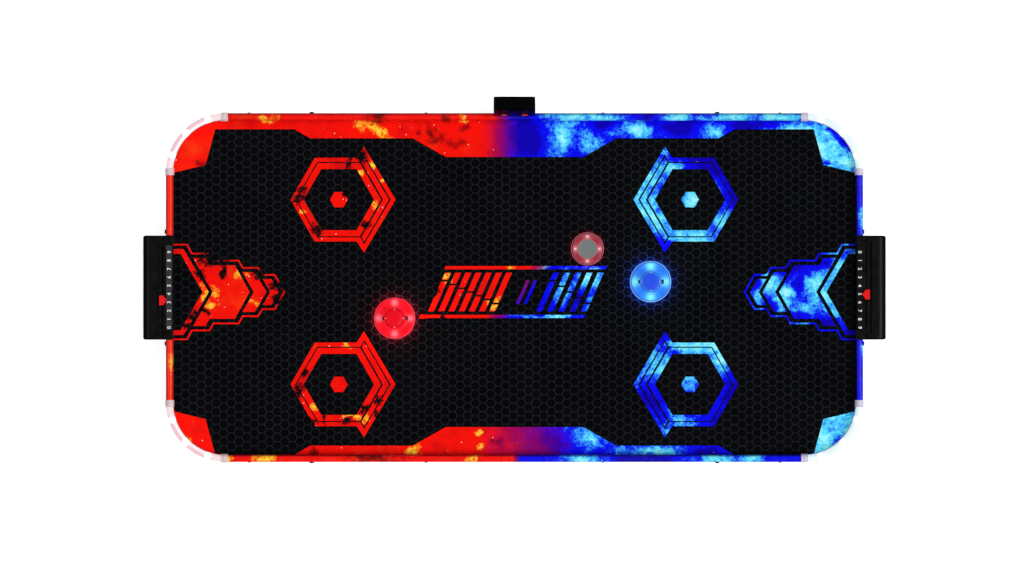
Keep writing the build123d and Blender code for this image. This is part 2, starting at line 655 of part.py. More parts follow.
def write_frame():
    for name, side in SIDES.items():
        write(f"apron_{name}", long_apron(side))
        write(f"rail_{name}", long_rail(side))
    for end, turn in ENDS.items():
        write(f"apron_{end}", end_apron(turn))
    for corner in CORNERS:
        write(f"corner_post_{corner}", at_corner(corner_post(), corner))
        write(f"corner_light_{corner}", at_corner(corner_light(), corner))
        write(f"rail_{corner}", end_rail(corner))
    write("corner_light_strips", group(at_corner(light_strip(), corner) for corner in CORNERS))
    write("rail_sleeves", sleeves())
    write("cross_braces", braces())
    write("support_cleats", cleats())
    write("playfield_board", perforated(SHELF_Z, SHELF_Z + BOARD_T))
    write("playfield_print", perforated(SHELF_Z + BOARD_T, FIELD_Z))
    write("apron_screws", group(apron_fasteners("screws", SCREW_HEAD_R, SCREW_HEAD_H, SCREW_SHAFT_R)))
    write("apron_bolts", group(apron_fasteners("bolts", HEAD_R, HEAD_H, BOLT_SHAFT_R)))


def write_goals():
    for end in ENDS:
        write(f"goal_box_{end}", at_end(goal_box(), end))
        write(f"score_strip_{end}", at_end(score_strip(), end))
        write(f"score_slider_{end}", at_end(score_slider(), end, SLIDER_REST_Y[end]))


def write_controls():
    write("control_box", control_box())
    write("control_board", control_board())
    write("power_jack", power_jack())
    for name, x in (("fan", -SWITCH_X), ("light", SWITCH_X)):
        write(f"{name}_switch_body", switch_body(x))
        write(f"{name}_rocker", rocker(x))


def write_underside():
    write("bottom_panel", bottom_panel())
    write("rubber_feet", feet())
    write("underside_screws", underside_screws())
    write("fan_guard", fan_guard())
    write("fan_housing", fan_housing())
    write("fan_motor", fan_motor())
    write("fan_impeller", fan_impeller())


def write_play_pieces():
    for colour, (x, y) in PUSHERS.items():
        for piece, make in PUSHER_PIECES.items():
            write(f"{colour}_pusher_{piece}", Pos(x, y, FIELD_Z) * make())
    for piece, make in PUCK_PIECES.items():
        write(f"puck_{piece}", Pos(*PUCK_AT, FIELD_Z) * make())


os.makedirs("parts", exist_ok=True)
write_frame()
write_goals()
write_controls()
write_underside()
write_play_pieces()
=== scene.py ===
from math import cos, hypot, pi, radians, sin, tan

import bmesh
import bpy
from mathutils import Matrix, Vector
from mathutils.geometry import delaunay_2d_cdt


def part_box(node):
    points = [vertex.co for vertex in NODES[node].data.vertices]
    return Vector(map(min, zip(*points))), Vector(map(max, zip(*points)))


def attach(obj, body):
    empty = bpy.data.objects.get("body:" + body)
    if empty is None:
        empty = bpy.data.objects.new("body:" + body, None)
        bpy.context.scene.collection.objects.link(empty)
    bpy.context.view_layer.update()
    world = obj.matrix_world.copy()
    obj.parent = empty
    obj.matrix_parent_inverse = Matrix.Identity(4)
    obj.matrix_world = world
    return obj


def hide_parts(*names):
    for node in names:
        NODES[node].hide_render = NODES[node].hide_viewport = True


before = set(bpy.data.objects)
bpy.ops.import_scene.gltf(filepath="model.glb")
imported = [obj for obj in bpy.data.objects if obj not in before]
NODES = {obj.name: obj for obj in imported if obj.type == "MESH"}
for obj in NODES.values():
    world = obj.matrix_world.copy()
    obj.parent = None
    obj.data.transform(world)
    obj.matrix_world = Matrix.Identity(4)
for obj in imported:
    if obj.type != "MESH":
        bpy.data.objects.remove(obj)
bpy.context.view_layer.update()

# Tabletop air hockey, dressed for rendering. Everything is in metres in the row frame; outlines are
# written in millimetres and scaled by MM.

MM = 0.001
ART = 0.9955 * MM  # one unit of the printed art
# Each corner's side along X, its side along Y, and where its quarter turn starts, in degrees
CORNERS = {"right_far": (1, 1, 0), "left_far": (-1, 1, 90),
           "left_near": (-1, -1, 180), "right_near": (1, -1, 270)}
ENDS = {"left": -1, "right": 1}


def middle(node):
    low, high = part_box(node)
    return (low + high) / 2


FIELD_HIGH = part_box("playfield_print")[1]
FIELD_Z = FIELD_HIGH.z
TABLE = middle("playfield_print")
ART_SHIFT = -7.7 * MM  # from the table's middle to the art's, along Y
ART_Y = TABLE.y + ART_SHIFT
HALF_LONG = FIELD_HIGH.x


def sticks_out(node):
    """The loose solids of a grouped CAD node, each as (lowest, highest corner)."""
    mesh = bmesh.new()
    mesh.from_mesh(NODES[node].data)
    bmesh.ops.remove_doubles(mesh, verts=mesh.verts, dist=0.001 * MM)
    unseen = set(mesh.verts)
    boxes = []
    while unseen:
        reached = [unseen.pop()]
        low, high = reached[0].co.copy(), reached[0].co.copy()
        while reached:
            vertex = reached.pop()
            low = Vector(map(min, low, vertex.co))
            high = Vector(map(max, high, vertex.co))
            for edge in vertex.link_edges:
                other = edge.other_vert(vertex)
                if other in unseen:
                    unseen.remove(other)
                    reached.append(other)
        boxes.append((low, high))
    mesh.free()
    return boxes


# ---------------------------------------------------------------- materials


def rgb(red, green, blue):
    """A display colour, 0 to 255, as the linear colour that a shader takes."""
    linear = []
    for value in (red, green, blue):
        share = value / 255
        linear.append(share / 12.92 if share <= 0.04045 else ((share + 0.055) / 1.055) ** 2.4)
    return (*linear, 1.0)


class Paint:
    """One procedural material, written a step at a time. Sockets and constants mix freely."""

    def __init__(self, name):
        self.material = bpy.data.materials.new(name)
        self.material.use_nodes = True
        self.nodes = self.material.node_tree.nodes
        self.nodes.clear()
        self.shader = self.nodes.new("ShaderNodeBsdfPrincipled")
        output = self.nodes.new("ShaderNodeOutputMaterial")
        self.join(output.inputs["Surface"], self.shader.outputs[0])
        self.place = self.nodes.new("ShaderNodeTexCoord").outputs["Object"]

    def join(self, socket, value):
        if isinstance(value, bpy.types.NodeSocket):
            self.material.node_tree.links.new(socket, value)
        else:
            socket.default_value = value

    def set(self, **sockets):
        """Feeds shader sockets: set(base_color=..., roughness=...)."""
        for name, value in sockets.items():
            self.join(self.shader.inputs[name.replace("_", " ").title().replace("Ior", "IOR")], value)
        return self.material

    def math(self, operation, a, b=0.0, clamp=False):
        node = self.nodes.new("ShaderNodeMath")
        node.operation = operation
        node.use_clamp = clamp
        self.join(node.inputs[0], a)
        self.join(node.inputs[1], b)
        return node.outputs[0]

    def vector(self, operation, a, b=(0, 0, 0), c=(0, 0, 0), output=0):
        node = self.nodes.new("ShaderNodeVectorMath")
        node.operation = operation
        for socket, value in zip(node.inputs, (a, b, c)):
            self.join(socket, value)
        return node.outputs[output]

    def times(self, a, b, clamp=False):
        return self.math("MULTIPLY", a, b, clamp)

    def minus(self, a, b):
        return self.math("SUBTRACT", a, b)

    def larger(self, a, b):
        return self.math("MAXIMUM", a, b)

    def above(self, a, b):
        """1 where a is more than b, otherwise 0."""
        return self.math("GREATER_THAN", a, b)

    def below(self, a, b):
        """1 where a is less than b, otherwise 0."""
        return self.math("LESS_THAN", a, b)

    def gap(self, a, b):
        """How far apart a and b are."""
        return self.math("ABSOLUTE", self.minus(a, b))

    def length(self, vector):
        return self.vector("LENGTH", vector, output=1)

    def stretched(self, x, y, z, vector=None):
        """A vector, or the place, with its three parts multiplied."""
        return self.vector("MULTIPLY", self.place if vector is None else vector, (x, y, z))

    def parts(self, vector):
        node = self.nodes.new("ShaderNodeSeparateXYZ")
        self.join(node.inputs[0], vector)
        return node.outputs

    def mix(self, share, a, b):
        """Colour a where share is 0 and b where it is 1."""
        node = self.nodes.new("ShaderNodeMix")
        node.data_type = "RGBA"
        self.join(node.inputs[0], share)
        self.join(node.inputs[6], a)
        self.join(node.inputs[7], b)
        return node.outputs[2]

    def between(self, share, a, b):
        """Like mix, for numbers."""
        node = self.nodes.new("ShaderNodeMix")
        self.join(node.inputs[0], share)
        self.join(node.inputs[2], a)
        self.join(node.inputs[3], b)
        return node.outputs[0]

    def choose(self, share, a, b):
        """Like mix, for vectors."""
        node = self.nodes.new("ShaderNodeMix")
        node.data_type = "VECTOR"
        self.join(node.inputs[0], share)
        self.join(node.inputs[4], a)
        self.join(node.inputs[5], b)
        return node.outputs[1]

    def step(self, value, low, high):
        """0 below low, 1 above high, smooth between. low may be the larger one."""
        node = self.nodes.new("ShaderNodeMapRange")
        node.interpolation_type = "SMOOTHSTEP"
        for socket, number in zip(node.inputs, (value, low, high, 0.0, 1.0)):
            self.join(socket, number)
        return node.outputs[0]

    def ramp(self, value, *stops):
        node = self.nodes.new("ShaderNodeValToRGB")
        elements = node.color_ramp.elements
        while len(elements) < len(stops):
            elements.new(0.5)
        for element, (place, colour) in zip(elements, stops):
            element.position = place
            element.color = colour
        self.join(node.inputs[0], value)
        return node.outputs[0]

    def noise(self, size, detail=3.0, rough=0.5, twist=0.0, at=None, output=0):
        """Noise whose features are about size millimetres across."""
        node = self.nodes.new("ShaderNodeTexNoise")
        self.join(node.inputs["Vector"], self.place if at is None else at)
        self.join(node.inputs["Scale"], 1 / (size * MM))
        self.join(node.inputs["Detail"], detail)
        self.join(node.inputs["Roughness"], rough)
        self.join(node.inputs["Distortion"], twist)
        return node.outputs[output]

    def stir(self, size, swing, detail=4.0, rough=0.55, twist=0.0, at=None):
        """Noise about zero, mostly within half of swing each way."""
        return self.times(self.minus(self.noise(size, detail, rough, twist, at), 0.5), swing)

    def add(self, *values):
        total = values[0]
        for value in values[1:]:
            total = self.math("ADD", total, value)
        return total

    def cells(self, size, at=None, feature="F1"):
        node = self.nodes.new("ShaderNodeTexVoronoi")
        node.feature = feature
        self.join(node.inputs["Vector"], self.place if at is None else at)
        self.join(node.inputs["Scale"], 1 / (size * MM))
        return node.outputs

    def bump(self, height, depth):
        """Raises the surface by height, from 0 to 1, times depth in millimetres."""
        node = self.nodes.new("ShaderNodeBump")
        self.join(node.inputs["Strength"], 1.0)
        self.join(node.inputs["Distance"], depth * MM)
        self.join(node.inputs["Height"], height)
        self.join(self.shader.inputs["Normal"], node.outputs[0])

    def grain(self, size, depth, smooth, rough):
        """Fine surface texture: a bump of that size and depth, with roughness from smooth to rough."""
        fine = self.noise(size, 4.0, 0.6)
        broad = self.noise(size * 14, 3.0, 0.55)
        self.bump(fine, depth)
        self.set(roughness=self.between(self.step(broad, 0.3, 0.7), smooth, rough))
        return broad


# Colours of the printed film: fire on the left half, ice on the right

RED = rgb(246, 18, 8)
DEEP_RED = rgb(214, 8, 10)
EMBER = rgb(255, 62, 16)
ORANGE = rgb(255, 128, 18)
YELLOW = rgb(255, 214, 60)
SMOKE = rgb(64, 2, 6)
BLACK = rgb(6, 6, 9)
SPARK = rgb(255, 232, 222)
BLUE = rgb(8, 8, 238)
DARK_BLUE = rgb(14, 0, 176)
MID_BLUE = rgb(24, 66, 246)
SKY = rgb(60, 166, 252)
CYAN = rgb(88, 224, 252)
PALE = rgb(168, 250, 255)
PLUM = rgb(120, 0, 84)
SCORCHED = rgb(110, 3, 6)
# Not print: painted shade for the rails' shoulders
SHADED = rgb(10, 0, 24)
# Not print: painted highlight dots on the lit plastic
GLINT = rgb(255, 244, 247)
NO_COLOUR = rgb(0, 0, 0)


def spots(paint, places, at):
    """1 in the middle of elliptical patches, falling to 0 at their edge and to -1 outside. Each is (x, y,
    half length, half width) in art units about the art's centre, and a turn in degrees if it is turned."""
    strongest = -1.0
    for x, y, long, wide, *turn in places:
        inside = paint.nodes.new("ShaderNodeMapping")
        inside.vector_type = "TEXTURE"
        paint.join(inside.inputs["Vector"], at)
        paint.join(inside.inputs["Location"], (x * ART, ART_Y + y * ART, FIELD_Z))
        paint.join(inside.inputs["Rotation"], (0, 0, radians(*turn or (0,))))
        paint.join(inside.inputs["Scale"], (long * ART, wide * ART, 1))
        near = paint.minus(1.0, paint.length(inside.outputs[0]))
        strongest = paint.larger(strongest, near)
    return strongest


def sparks(paint, colour, spacing=11.5, size=1.2):
    """Scattered tiny bright dots over a colour."""
    cell = paint.cells(spacing)
    dot = paint.step(cell["Distance"], size / spacing, 0.4 * size / spacing)
    chosen = paint.above(paint.parts(cell["Color"])[0], 0.4)
    return paint.mix(paint.times(dot, chosen), colour, SPARK)


def wandering(paint, size, reach):
    """The place, pushed about by noise, so that patches get ragged outlines."""
    push = paint.vector("SUBTRACT", paint.noise(size, 4.0, 0.6, output=1), (0.5, 0.5, 0.5))
    reach *= MM
    return paint.vector("ADD", paint.place, paint.stretched(reach, reach, reach, push))


def fire(paint, flames, smoke, splatter=False):
    """Red with drifts of ember, filaments of flame and dark smoke. With splatter the smoke is black, where
    the ink has come off."""
    at = wandering(paint, 26, 20)
    colour = paint.mix(paint.step(paint.noise(60, 5.0, 0.6), 0.48, 0.72), RED, DEEP_RED)
    drift = paint.step(paint.noise(90, 4.0, 0.6, at=at), 0.54, 0.8)
    colour = paint.mix(paint.times(drift, 0.8), colour, EMBER)
    blaze = paint.add(spots(paint, flames, at), paint.stir(15, 2.6, 5.0, 0.6))
    ridge = paint.minus(1.0, paint.math("ABSOLUTE", paint.stir(11, 9.0, 5.0, 0.55, 1.4)))
    lit = paint.step(blaze, -0.1, 0.75)
    colour = paint.mix(paint.times(lit, paint.step(ridge, -1.2, 0.6)), colour, ORANGE)
    colour = paint.mix(paint.times(lit, paint.step(ridge, 0.15, 0.8)), colour, YELLOW)
    colour = sparks(paint, colour)
    patches = spots(paint, smoke, at)
    if not splatter:
        haze = paint.step(paint.add(patches, paint.stir(15, 3.4, 6.0, 0.65)), -0.15, 1.1)
        return paint.mix(paint.times(haze, 0.85), colour, SMOKE)
    scorch = paint.step(paint.add(patches, paint.stir(9, 3.6, 6.0, 0.65)), -0.3, 0.35)
    colour = paint.mix(paint.times(scorch, 0.7), colour, SCORCHED)
    gone = paint.step(paint.add(patches, paint.stir(5.5, 5.5, 8.0, 0.72, 0.4)), 0.1, 0.35)
    return paint.mix(gone, colour, BLACK)


def ice(paint, clouds, deeps):
    """Deep blue with frosty clouds and fine spatter; deeps are patches that stay blue."""
    at = wandering(paint, 34, 30)
    frost = paint.add(paint.times(spots(paint, clouds, at), 0.62), paint.stir(46, 2.6, 6.0, 0.62, 0.5, at),
                      paint.stir(7, 1.6, 6.0, 0.72), paint.stir(2.2, 1.1, 3.0, 0.7))
    clear = paint.larger(paint.add(spots(paint, deeps, at), 0.25), 0.0)
    frost = paint.minus(frost, paint.times(clear, 0.9))
    level = paint.add(paint.times(frost, 0.5), 0.5)
    colour = paint.ramp(level, (0.0, DARK_BLUE), (0.18, BLUE), (0.4, BLUE), (0.5, MID_BLUE), (0.62, SKY),
                        (0.74, CYAN), (0.95, PALE))
    return sparks(paint, colour, 20.0, 0.9)


MEETING_REACH = 0.12  # how far from the middle the meeting line of fire and ice bends, in metres


def fire_to_ice(paint, hot, cold, far_edge, near_edge, lean=0.0):
    """Fire left of the meeting line and ice right of it, with plum between.
    far_edge and near_edge are (where, half width) of the meeting, in millimetres, on the two long sides."""
    x, y, _ = paint.parts(paint.place)
    side = paint.step(y, TABLE.y + MEETING_REACH, TABLE.y - MEETING_REACH)
    where = paint.between(side, far_edge[0] * MM, near_edge[0] * MM)
    width = paint.between(side, far_edge[1] * MM, near_edge[1] * MM)
    ragged = paint.stir(34, 1.6, 5.0, 0.65)
    slanted = paint.minus(x, paint.times(paint.minus(y, ART_Y), lean))
    across = paint.math("DIVIDE", paint.minus(slanted, where), width)
    share = paint.add(across, ragged)
    plum = paint.times(paint.step(share, -1.6, -0.2), paint.step(share, 1.5, 0.2))
    blend = paint.mix(paint.step(share, -0.7, 0.7), hot, cold)
    return paint.mix(paint.times(plum, 0.75), blend, PLUM)


def film(paint, colour, gloss=0.34):
    """Printed film over board: slight unevenness, a soft gloss, and the print's own saturation."""
    paint.bump(paint.noise(3.2, 3.0, 0.5), 0.012)
    rough = paint.between(paint.step(paint.noise(60, 3.0), 0.3, 0.7), gloss, gloss + 0.12)
    return paint.set(base_color=colour, roughness=rough, specular_ior_level=0.035)


BORDER_FLAMES = [(-270, 293, 17, 11, -60), (-240, 285, 30, 10, -28), (-430, 305, 22, 7), (-573, -259, 9, 7),
                 (-89, 303, 10, 5), (-177, -279, 15, 13, 20), (-64, -246, 8, 9, 70), (-58, -273, 8, 8),
                 (-78, -294, 12, 6), (-436, -297, 30, 8)]
BORDER_SMOKE = [(-145, 276, 28, 17, -30), (-103, 262, 22, 12), (-90, 290, 16, 9), (-242, 306, 14, 9),
                (-121, 306, 11, 7), (-353, -281, 11, 12), (-553, 227, 17, 6, 14), (-250, -296, 50, 8),
                (-30, -262, 18, 12, 30)]
BORDER_CLOUDS = [(78, 272, 34, 26, -50), (138, 258, 34, 22, -35), (215, 284, 40, 16), (355, 280, 26, 13),
                 (545, 258, 50, 60), (586, 222, 34, 34), (132, -258, 30, 22), (240, -280, 58, 13),
                 (560, -250, 80, 54, 30), (470, -290, 60, 12), (500, 286, 64, 12)]
BORDER_DEEPS = [(575, 266, 17, 9, -40), (557, 284, 12, 6, -35), (548, 228, 10, 6, -15), (25, 268, 34, 34),
                (160, 292, 26, 12), (286, 290, 44, 13), (420, 293, 46, 9), (592, -262, 12, 9, 40),
                (330, -286, 30, 12), (60, -262, 30, 24)]


def border_print():
    paint = Paint("border_print")
    hot = fire(paint, BORDER_FLAMES, BORDER_SMOKE)
    cold = ice(paint, BORDER_CLOUDS, BORDER_DEEPS)
    return film(paint, fire_to_ice(paint, hot, cold, (-22, 22), (22, 56)))


def rail_shade(paint):
    """Painted shade: how far the film's colour is darkened where it turns down, standing in for the shade
    on the far shoulders of the long rails, the inner shoulders of the rails at the ends, and the outer
    shoulder at the left end."""
    x, y, _ = paint.parts(paint.place)
    far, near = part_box("rail_far")[1].y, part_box("rail_near")[1].y
    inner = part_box("rail_right_far")[0].x
    outer = -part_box("rail_left_far")[0].x
    shoulders = [paint.times(paint.step(y, far - 6.0 * MM, far), 0.75),
                 paint.times(paint.below(y, 0.0), paint.step(y, near - 5.0 * MM, near)),
                 paint.times(paint.step(x, inner + 6.5 * MM, inner), paint.step(x, inner - MM, inner)),
                 paint.times(paint.step(x, -inner - 3.0 * MM, -inner), 0.6),
                 paint.times(paint.step(x, 4.0 * MM - outer, -outer), 0.6)]
    side = paint.above(paint.math("ABSOLUTE", x), inner - MM)
    long_shade = paint.times(paint.larger(shoulders[0], shoulders[1]),
                            paint.minus(1.0, side))
    left = paint.times(paint.below(x, 0.0), paint.larger(shoulders[3], shoulders[4]))
    end_shade = paint.times(side, paint.larger(shoulders[2], left))
    return paint.times(paint.larger(long_shade, end_shade), 0.8, clamp=True)


def rail_print():
    """Wrapped film on the rails, glossier than the field, with its own patches."""
    paint = Paint("rail_print")
    flames = [(-436, 303, 20, 9), (-89, 305, 6, 6), (-436, -291, 22, 9), (-500, -291, 9, 8),
              (-603, -122, 9, 15), (-75, -291, 12, 8)]
    smoke = [(-242, 303, 24, 22), (-121, 303, 13, 16), (-250, -291, 52, 12)]
    clouds = [(110, 306, 66, 20), (175, 306, 30, 20), (282, 306, 30, 20), (380, 306, 38, 20),
              (470, 306, 36, 20), (120, -291, 34, 20), (345, -291, 28, 20), (420, -291, 22, 20),
              (610, 126, 7, 26), (610, -105, 7, 14)]
    hot = fire(paint, flames, smoke)
    cold = ice(paint, clouds, [(20, 303, 34, 20), (225, 303, 22, 20), (230, -291, 50, 20)])
    left_end = paint.step(paint.parts(paint.place)[0], -590 * MM, -600 * MM)
    hot = paint.mix(paint.times(left_end, 0.35), hot, EMBER)
    colour = fire_to_ice(paint, hot, cold, (-22, 12), (4, 5))
    # Painted shade on the rails' shoulders
    colour = paint.mix(rail_shade(paint), colour, SHADED)
    paint.bump(paint.noise(2.0, 3.0, 0.5), 0.012)
    rough = paint.between(paint.step(paint.noise(40, 3.0), 0.3, 0.7), 0.2, 0.3)
    return paint.set(base_color=colour, roughness=rough, specular_ior_level=0.35)


def honeycomb_print():
    """Near-black film with a grid of faint hexagon outlines."""
    flat_to_flat = 15.0 * MM
    column = 13.34 * MM
    regular_column = flat_to_flat * cos(radians(30))
    stretch = regular_column / column
    first = (-1.9 * MM * stretch, ART_Y + 8.2 * MM, 0)
    paint = Paint("honeycomb_print")
    grid = paint.vector("SUBTRACT", paint.stretched(stretch, 1, 0), first)
    step = (regular_column, flat_to_flat / 2, 0)
    half = (regular_column, flat_to_flat / 2, 1)
    below = tuple(-v for v in half)
    one = paint.vector("WRAP", grid, half, below)
    other = paint.vector("WRAP", paint.vector("ADD", grid, step), half, below)
    nearer = paint.below(paint.length(one), paint.length(other))
    x, y, _ = paint.parts(paint.vector("ABSOLUTE", paint.choose(nearer, other, one)))
    slanted = paint.add(paint.times(x, sin(radians(60))), paint.times(y, 0.5))
    reach = paint.larger(y, slanted)
    line = paint.step(reach, flat_to_flat / 2 - 1.4 * MM, flat_to_flat / 2 - 0.6 * MM)
    fade = paint.step(reach, 0.2 * flat_to_flat, flat_to_flat / 2)
    cell = paint.mix(fade, rgb(3, 3, 5), rgb(0, 0, 2))
    wear = paint.between(paint.noise(90, 4.0), 0.75, 1.0)
    lines = paint.mix(paint.noise(50, 3.0), rgb(20, 25, 28), rgb(28, 34, 38))
    colour = paint.mix(paint.times(line, wear), cell, lines)
    speck = paint.step(paint.noise(1.6, 2.0), 0.68, 0.8)
    colour = paint.mix(paint.times(speck, 0.05), colour, rgb(90, 90, 100))
    return film(paint, colour, 0.4)


def grunge_print(name, flames, smoke):
    """Red ink on the black field, eaten away by black smoke."""
    paint = Paint(name)
    return film(paint, fire(paint, flames, smoke, True))


def frost_print(name, clouds, deeps):
    paint = Paint(name)
    return film(paint, ice(paint, clouds, deeps))


def centre_print():
    """Fire and ice that meet on a slanted line across the middle of the field."""
    paint = Paint("centre_print")
    hot = fire(paint, [(-118, 24, 14, 12, 60), (-4, 43, 10, 6), (-36, -22, 14, 10, 40), (-150, 14, 8, 10)],
               [(-142, 2, 16, 8, 10), (-127, -43, 5, 8)], True)
    cold = ice(paint, [(84, 10, 14, 30, -24), (128, 24, 26, 22), (140, -20, 18, 20), (50, 43, 12, 6),
                       (60, -43, 44, 4)], [(110, -8, 12, 12)])
    return film(paint, fire_to_ice(paint, hot, cold, (8, 14), (8, 14), lean=0.85))


def laminate():
    """Black melamine-faced board with a fine pressed texture."""
    paint = Paint("apron_laminate")
    pores = paint.noise(0.8, 3.0, 0.6, at=paint.stretched(0.12, 0.12, 1))
    cloud = paint.noise(120, 4.0, 0.6)
    colour = paint.mix(cloud, rgb(15, 15, 17), rgb(27, 27, 30))
    colour = paint.mix(paint.step(pores, 0.55, 0.8), colour, rgb(9, 9, 10))
    paint.bump(pores, 0.08)
    return paint.set(base_color=colour, roughness=paint.between(cloud, 0.38, 0.55), specular_ior_level=0.35)


def moulded(name, dark, light, size=1.1, depth=0.03, smooth=0.32, rough=0.46, specular=0.35):
    """Injection-moulded plastic: fine spark texture and slow changes of tone and gloss."""
    paint = Paint(name)
    broad = paint.grain(size, depth, smooth, rough)
    colour = paint.mix(broad, dark, light)
    colour = paint.mix(paint.step(paint.noise(3.0, 2.0), 0.6, 0.9), colour, light)
    return paint.set(base_color=colour, specular_ior_level=specular)


def metal(name, dark, light, roughness):
    """Machined metal with faint tool marks and a little tarnish."""
    paint = Paint(name)
    marks = paint.noise(0.5, 3.0, 0.6)
    tarnish = paint.noise(14, 4.0, 0.6)
    paint.bump(marks, 0.015)
    rough = paint.between(tarnish, roughness, roughness + 0.18)
    return paint.set(base_color=paint.mix(tarnish, dark, light), metallic=1.0, roughness=rough)


def pine():
    """Planed softwood: long grain along X with darker late wood."""
    paint = Paint("pine")
    along = paint.stretched(0.08, 1, 1)
    rings = paint.math("FRACT", paint.times(paint.noise(26, 3.0, 0.5, 0.3, at=along), 9.0))
    late = paint.step(rings, 0.55, 0.95)
    fibre = paint.noise(1.2, 3.0, 0.6, at=along)
    colour = paint.mix(late, rgb(214, 178, 126), rgb(176, 128, 78))
    colour = paint.mix(paint.times(fibre, 0.4), colour, rgb(232, 205, 160))
    paint.bump(fibre, 0.06)
    return paint.set(base_color=colour, roughness=paint.between(fibre, 0.55, 0.75))


def fibreboard(name, dark, light, mesh_size=0.0):
    """Pressed fibre panel: short felted fibres, and a fine wire-mesh print where it has one."""
    paint = Paint(name)
    fibres = paint.add(paint.noise(2.2, 5.0, 0.7, 0.8, at=paint.stretched(0.35, 1, 1)),
                       paint.noise(1.7, 5.0, 0.7, 0.8, at=paint.stretched(1, 0.3, 1)))
    fibres = paint.times(fibres, 0.5)
    blotch = paint.noise(70, 4.0, 0.6)
    colour = paint.mix(paint.step(fibres, 0.38, 0.62), dark, light)
    colour = paint.mix(paint.times(blotch, 0.35), colour, dark)
    height = fibres
    if mesh_size:
        dimple = paint.cells(mesh_size)["Distance"]
        height = paint.add(fibres, paint.times(dimple, 0.6))
    paint.bump(height, 0.12)
    return paint.set(base_color=colour, roughness=paint.between(fibres, 0.6, 0.82))


def rubber():
    paint = Paint("foot_rubber")
    broad = paint.grain(0.7, 0.05, 0.66, 0.82)
    return paint.set(base_color=paint.mix(broad, rgb(20, 20, 21), rgb(38, 38, 40)), specular_ior_level=0.3)


def felt():
    paint = Paint("felt")
    fuzz = paint.noise(0.45, 5.0, 0.75, 1.0)
    clump = paint.noise(4, 4.0, 0.6)
    colour = paint.mix(paint.step(fuzz, 0.35, 0.65), rgb(24, 24, 26), rgb(74, 74, 80))
    colour = paint.mix(paint.times(clump, 0.4), colour, rgb(44, 44, 48))
    paint.bump(fuzz, 0.25)
    return paint.set(base_color=colour, roughness=0.95, sheen_weight=0.4, sheen_roughness=0.5)


def circuit_board(name="circuit_board", dark=(8, 62, 34), light=(46, 128, 66)):
    """Lacquered board with lighter tracks under the lacquer."""
    paint = Paint(name)
    track = paint.cells(3.4, feature="DISTANCE_TO_EDGE")["Distance"]
    copper = paint.step(track, 0.1, 0.05)
    mottled = paint.noise(9, 3.0)
    colour = paint.mix(paint.times(mottled, 0.6), rgb(*dark), rgb(*light))
    colour = paint.mix(copper, colour, rgb(*light))
    paint.bump(copper, 0.03)
    return paint.set(base_color=colour, roughness=paint.between(mottled, 0.28, 0.4))


def number_ink():
    paint = Paint("number_ink")
    worn = paint.noise(1.4, 4.0, 0.6)
    paint.bump(worn, 0.01)
    colour = paint.mix(paint.step(worn, 0.6, 0.85), rgb(232, 232, 232), rgb(196, 196, 199))
    return paint.set(base_color=colour, roughness=paint.between(worn, 0.4, 0.55))


def nearest_of(paint, gaps):
    nearest = gaps[0]
    for gap in gaps[1:]:
        nearest = paint.math("MINIMUM", nearest, gap)
    return nearest


def round_axis(paint, centre):
    """The place from a centre, flattened along Z, and its distance from the upright axis there."""
    flat = paint.stretched(1, 1, 0, paint.vector("SUBTRACT", paint.place, tuple(centre)))
    return flat, paint.length(flat)


def corner_glow(corner):
    """Milky tube lit from below at three points, tinted outside between them and near its ends."""
    left = CORNERS[corner][0] < 0
    white = rgb(255, 248, 249) if left else rgb(243, 253, 255)
    tint = rgb(244, 196, 206) if left else rgb(228, 248, 255)
    paint = Paint(f"corner_glow_{corner}")
    flat, radius = round_axis(paint, corner_centre(corner))
    x, y, _ = paint.parts(paint.vector("ABSOLUTE", flat))
    turn = paint.math("ARCTAN2", y, x)
    nearest = nearest_of(paint, [paint.gap(turn, radians(angle)) for angle in LAMP_ANGLES])
    lamp = paint.step(nearest, radians(4.0), radians(1.5))
    bow = paint.step(nearest, radians(0.5), radians(6))
    inner_edge = paint.minus(LIGHT_OUT_R, paint.times(bow, 7.2 * MM))
    rim = paint.step(paint.minus(radius, inner_edge), -0.8 * MM, 0.6 * MM)
    rim = paint.times(rim, paint.step(nearest, radians(1.2), radians(3.0)))
    end = paint.step(paint.gap(turn, radians(45)), radians(28), radians(34))
    streak = paint.noise(5, 4.0, 0.6, at=paint.stretched(0.4, 0.4, 1))
    share = paint.times(paint.between(end, rim, 0.5), paint.between(streak, 0.7, 1.1), clamp=True)
    milky = paint.mix(share, white, tint)
    # Painted shade: a slightly darker tinted band along the inner edge, where the tube meets the print
    edge = paint.step(radius, LIGHT_OUT_R - 11.0 * MM, LIGHT_OUT_R - 11.8 * MM)
    milky = paint.mix(paint.times(edge, 0.35), milky, tint)
    glow = paint.mix(lamp, milky, rgb(255, 255, 255))
    paint.bump(paint.noise(2.5, 3.0), 0.01)
    return paint.set(base_color=paint.mix(0.55, glow, NO_COLOUR), emission_color=glow,
                     emission_strength=paint.between(lamp, 0.58, 0.85),
                     roughness=paint.between(paint.noise(30, 3.0), 0.2, 0.3), specular_ior_level=0.25)


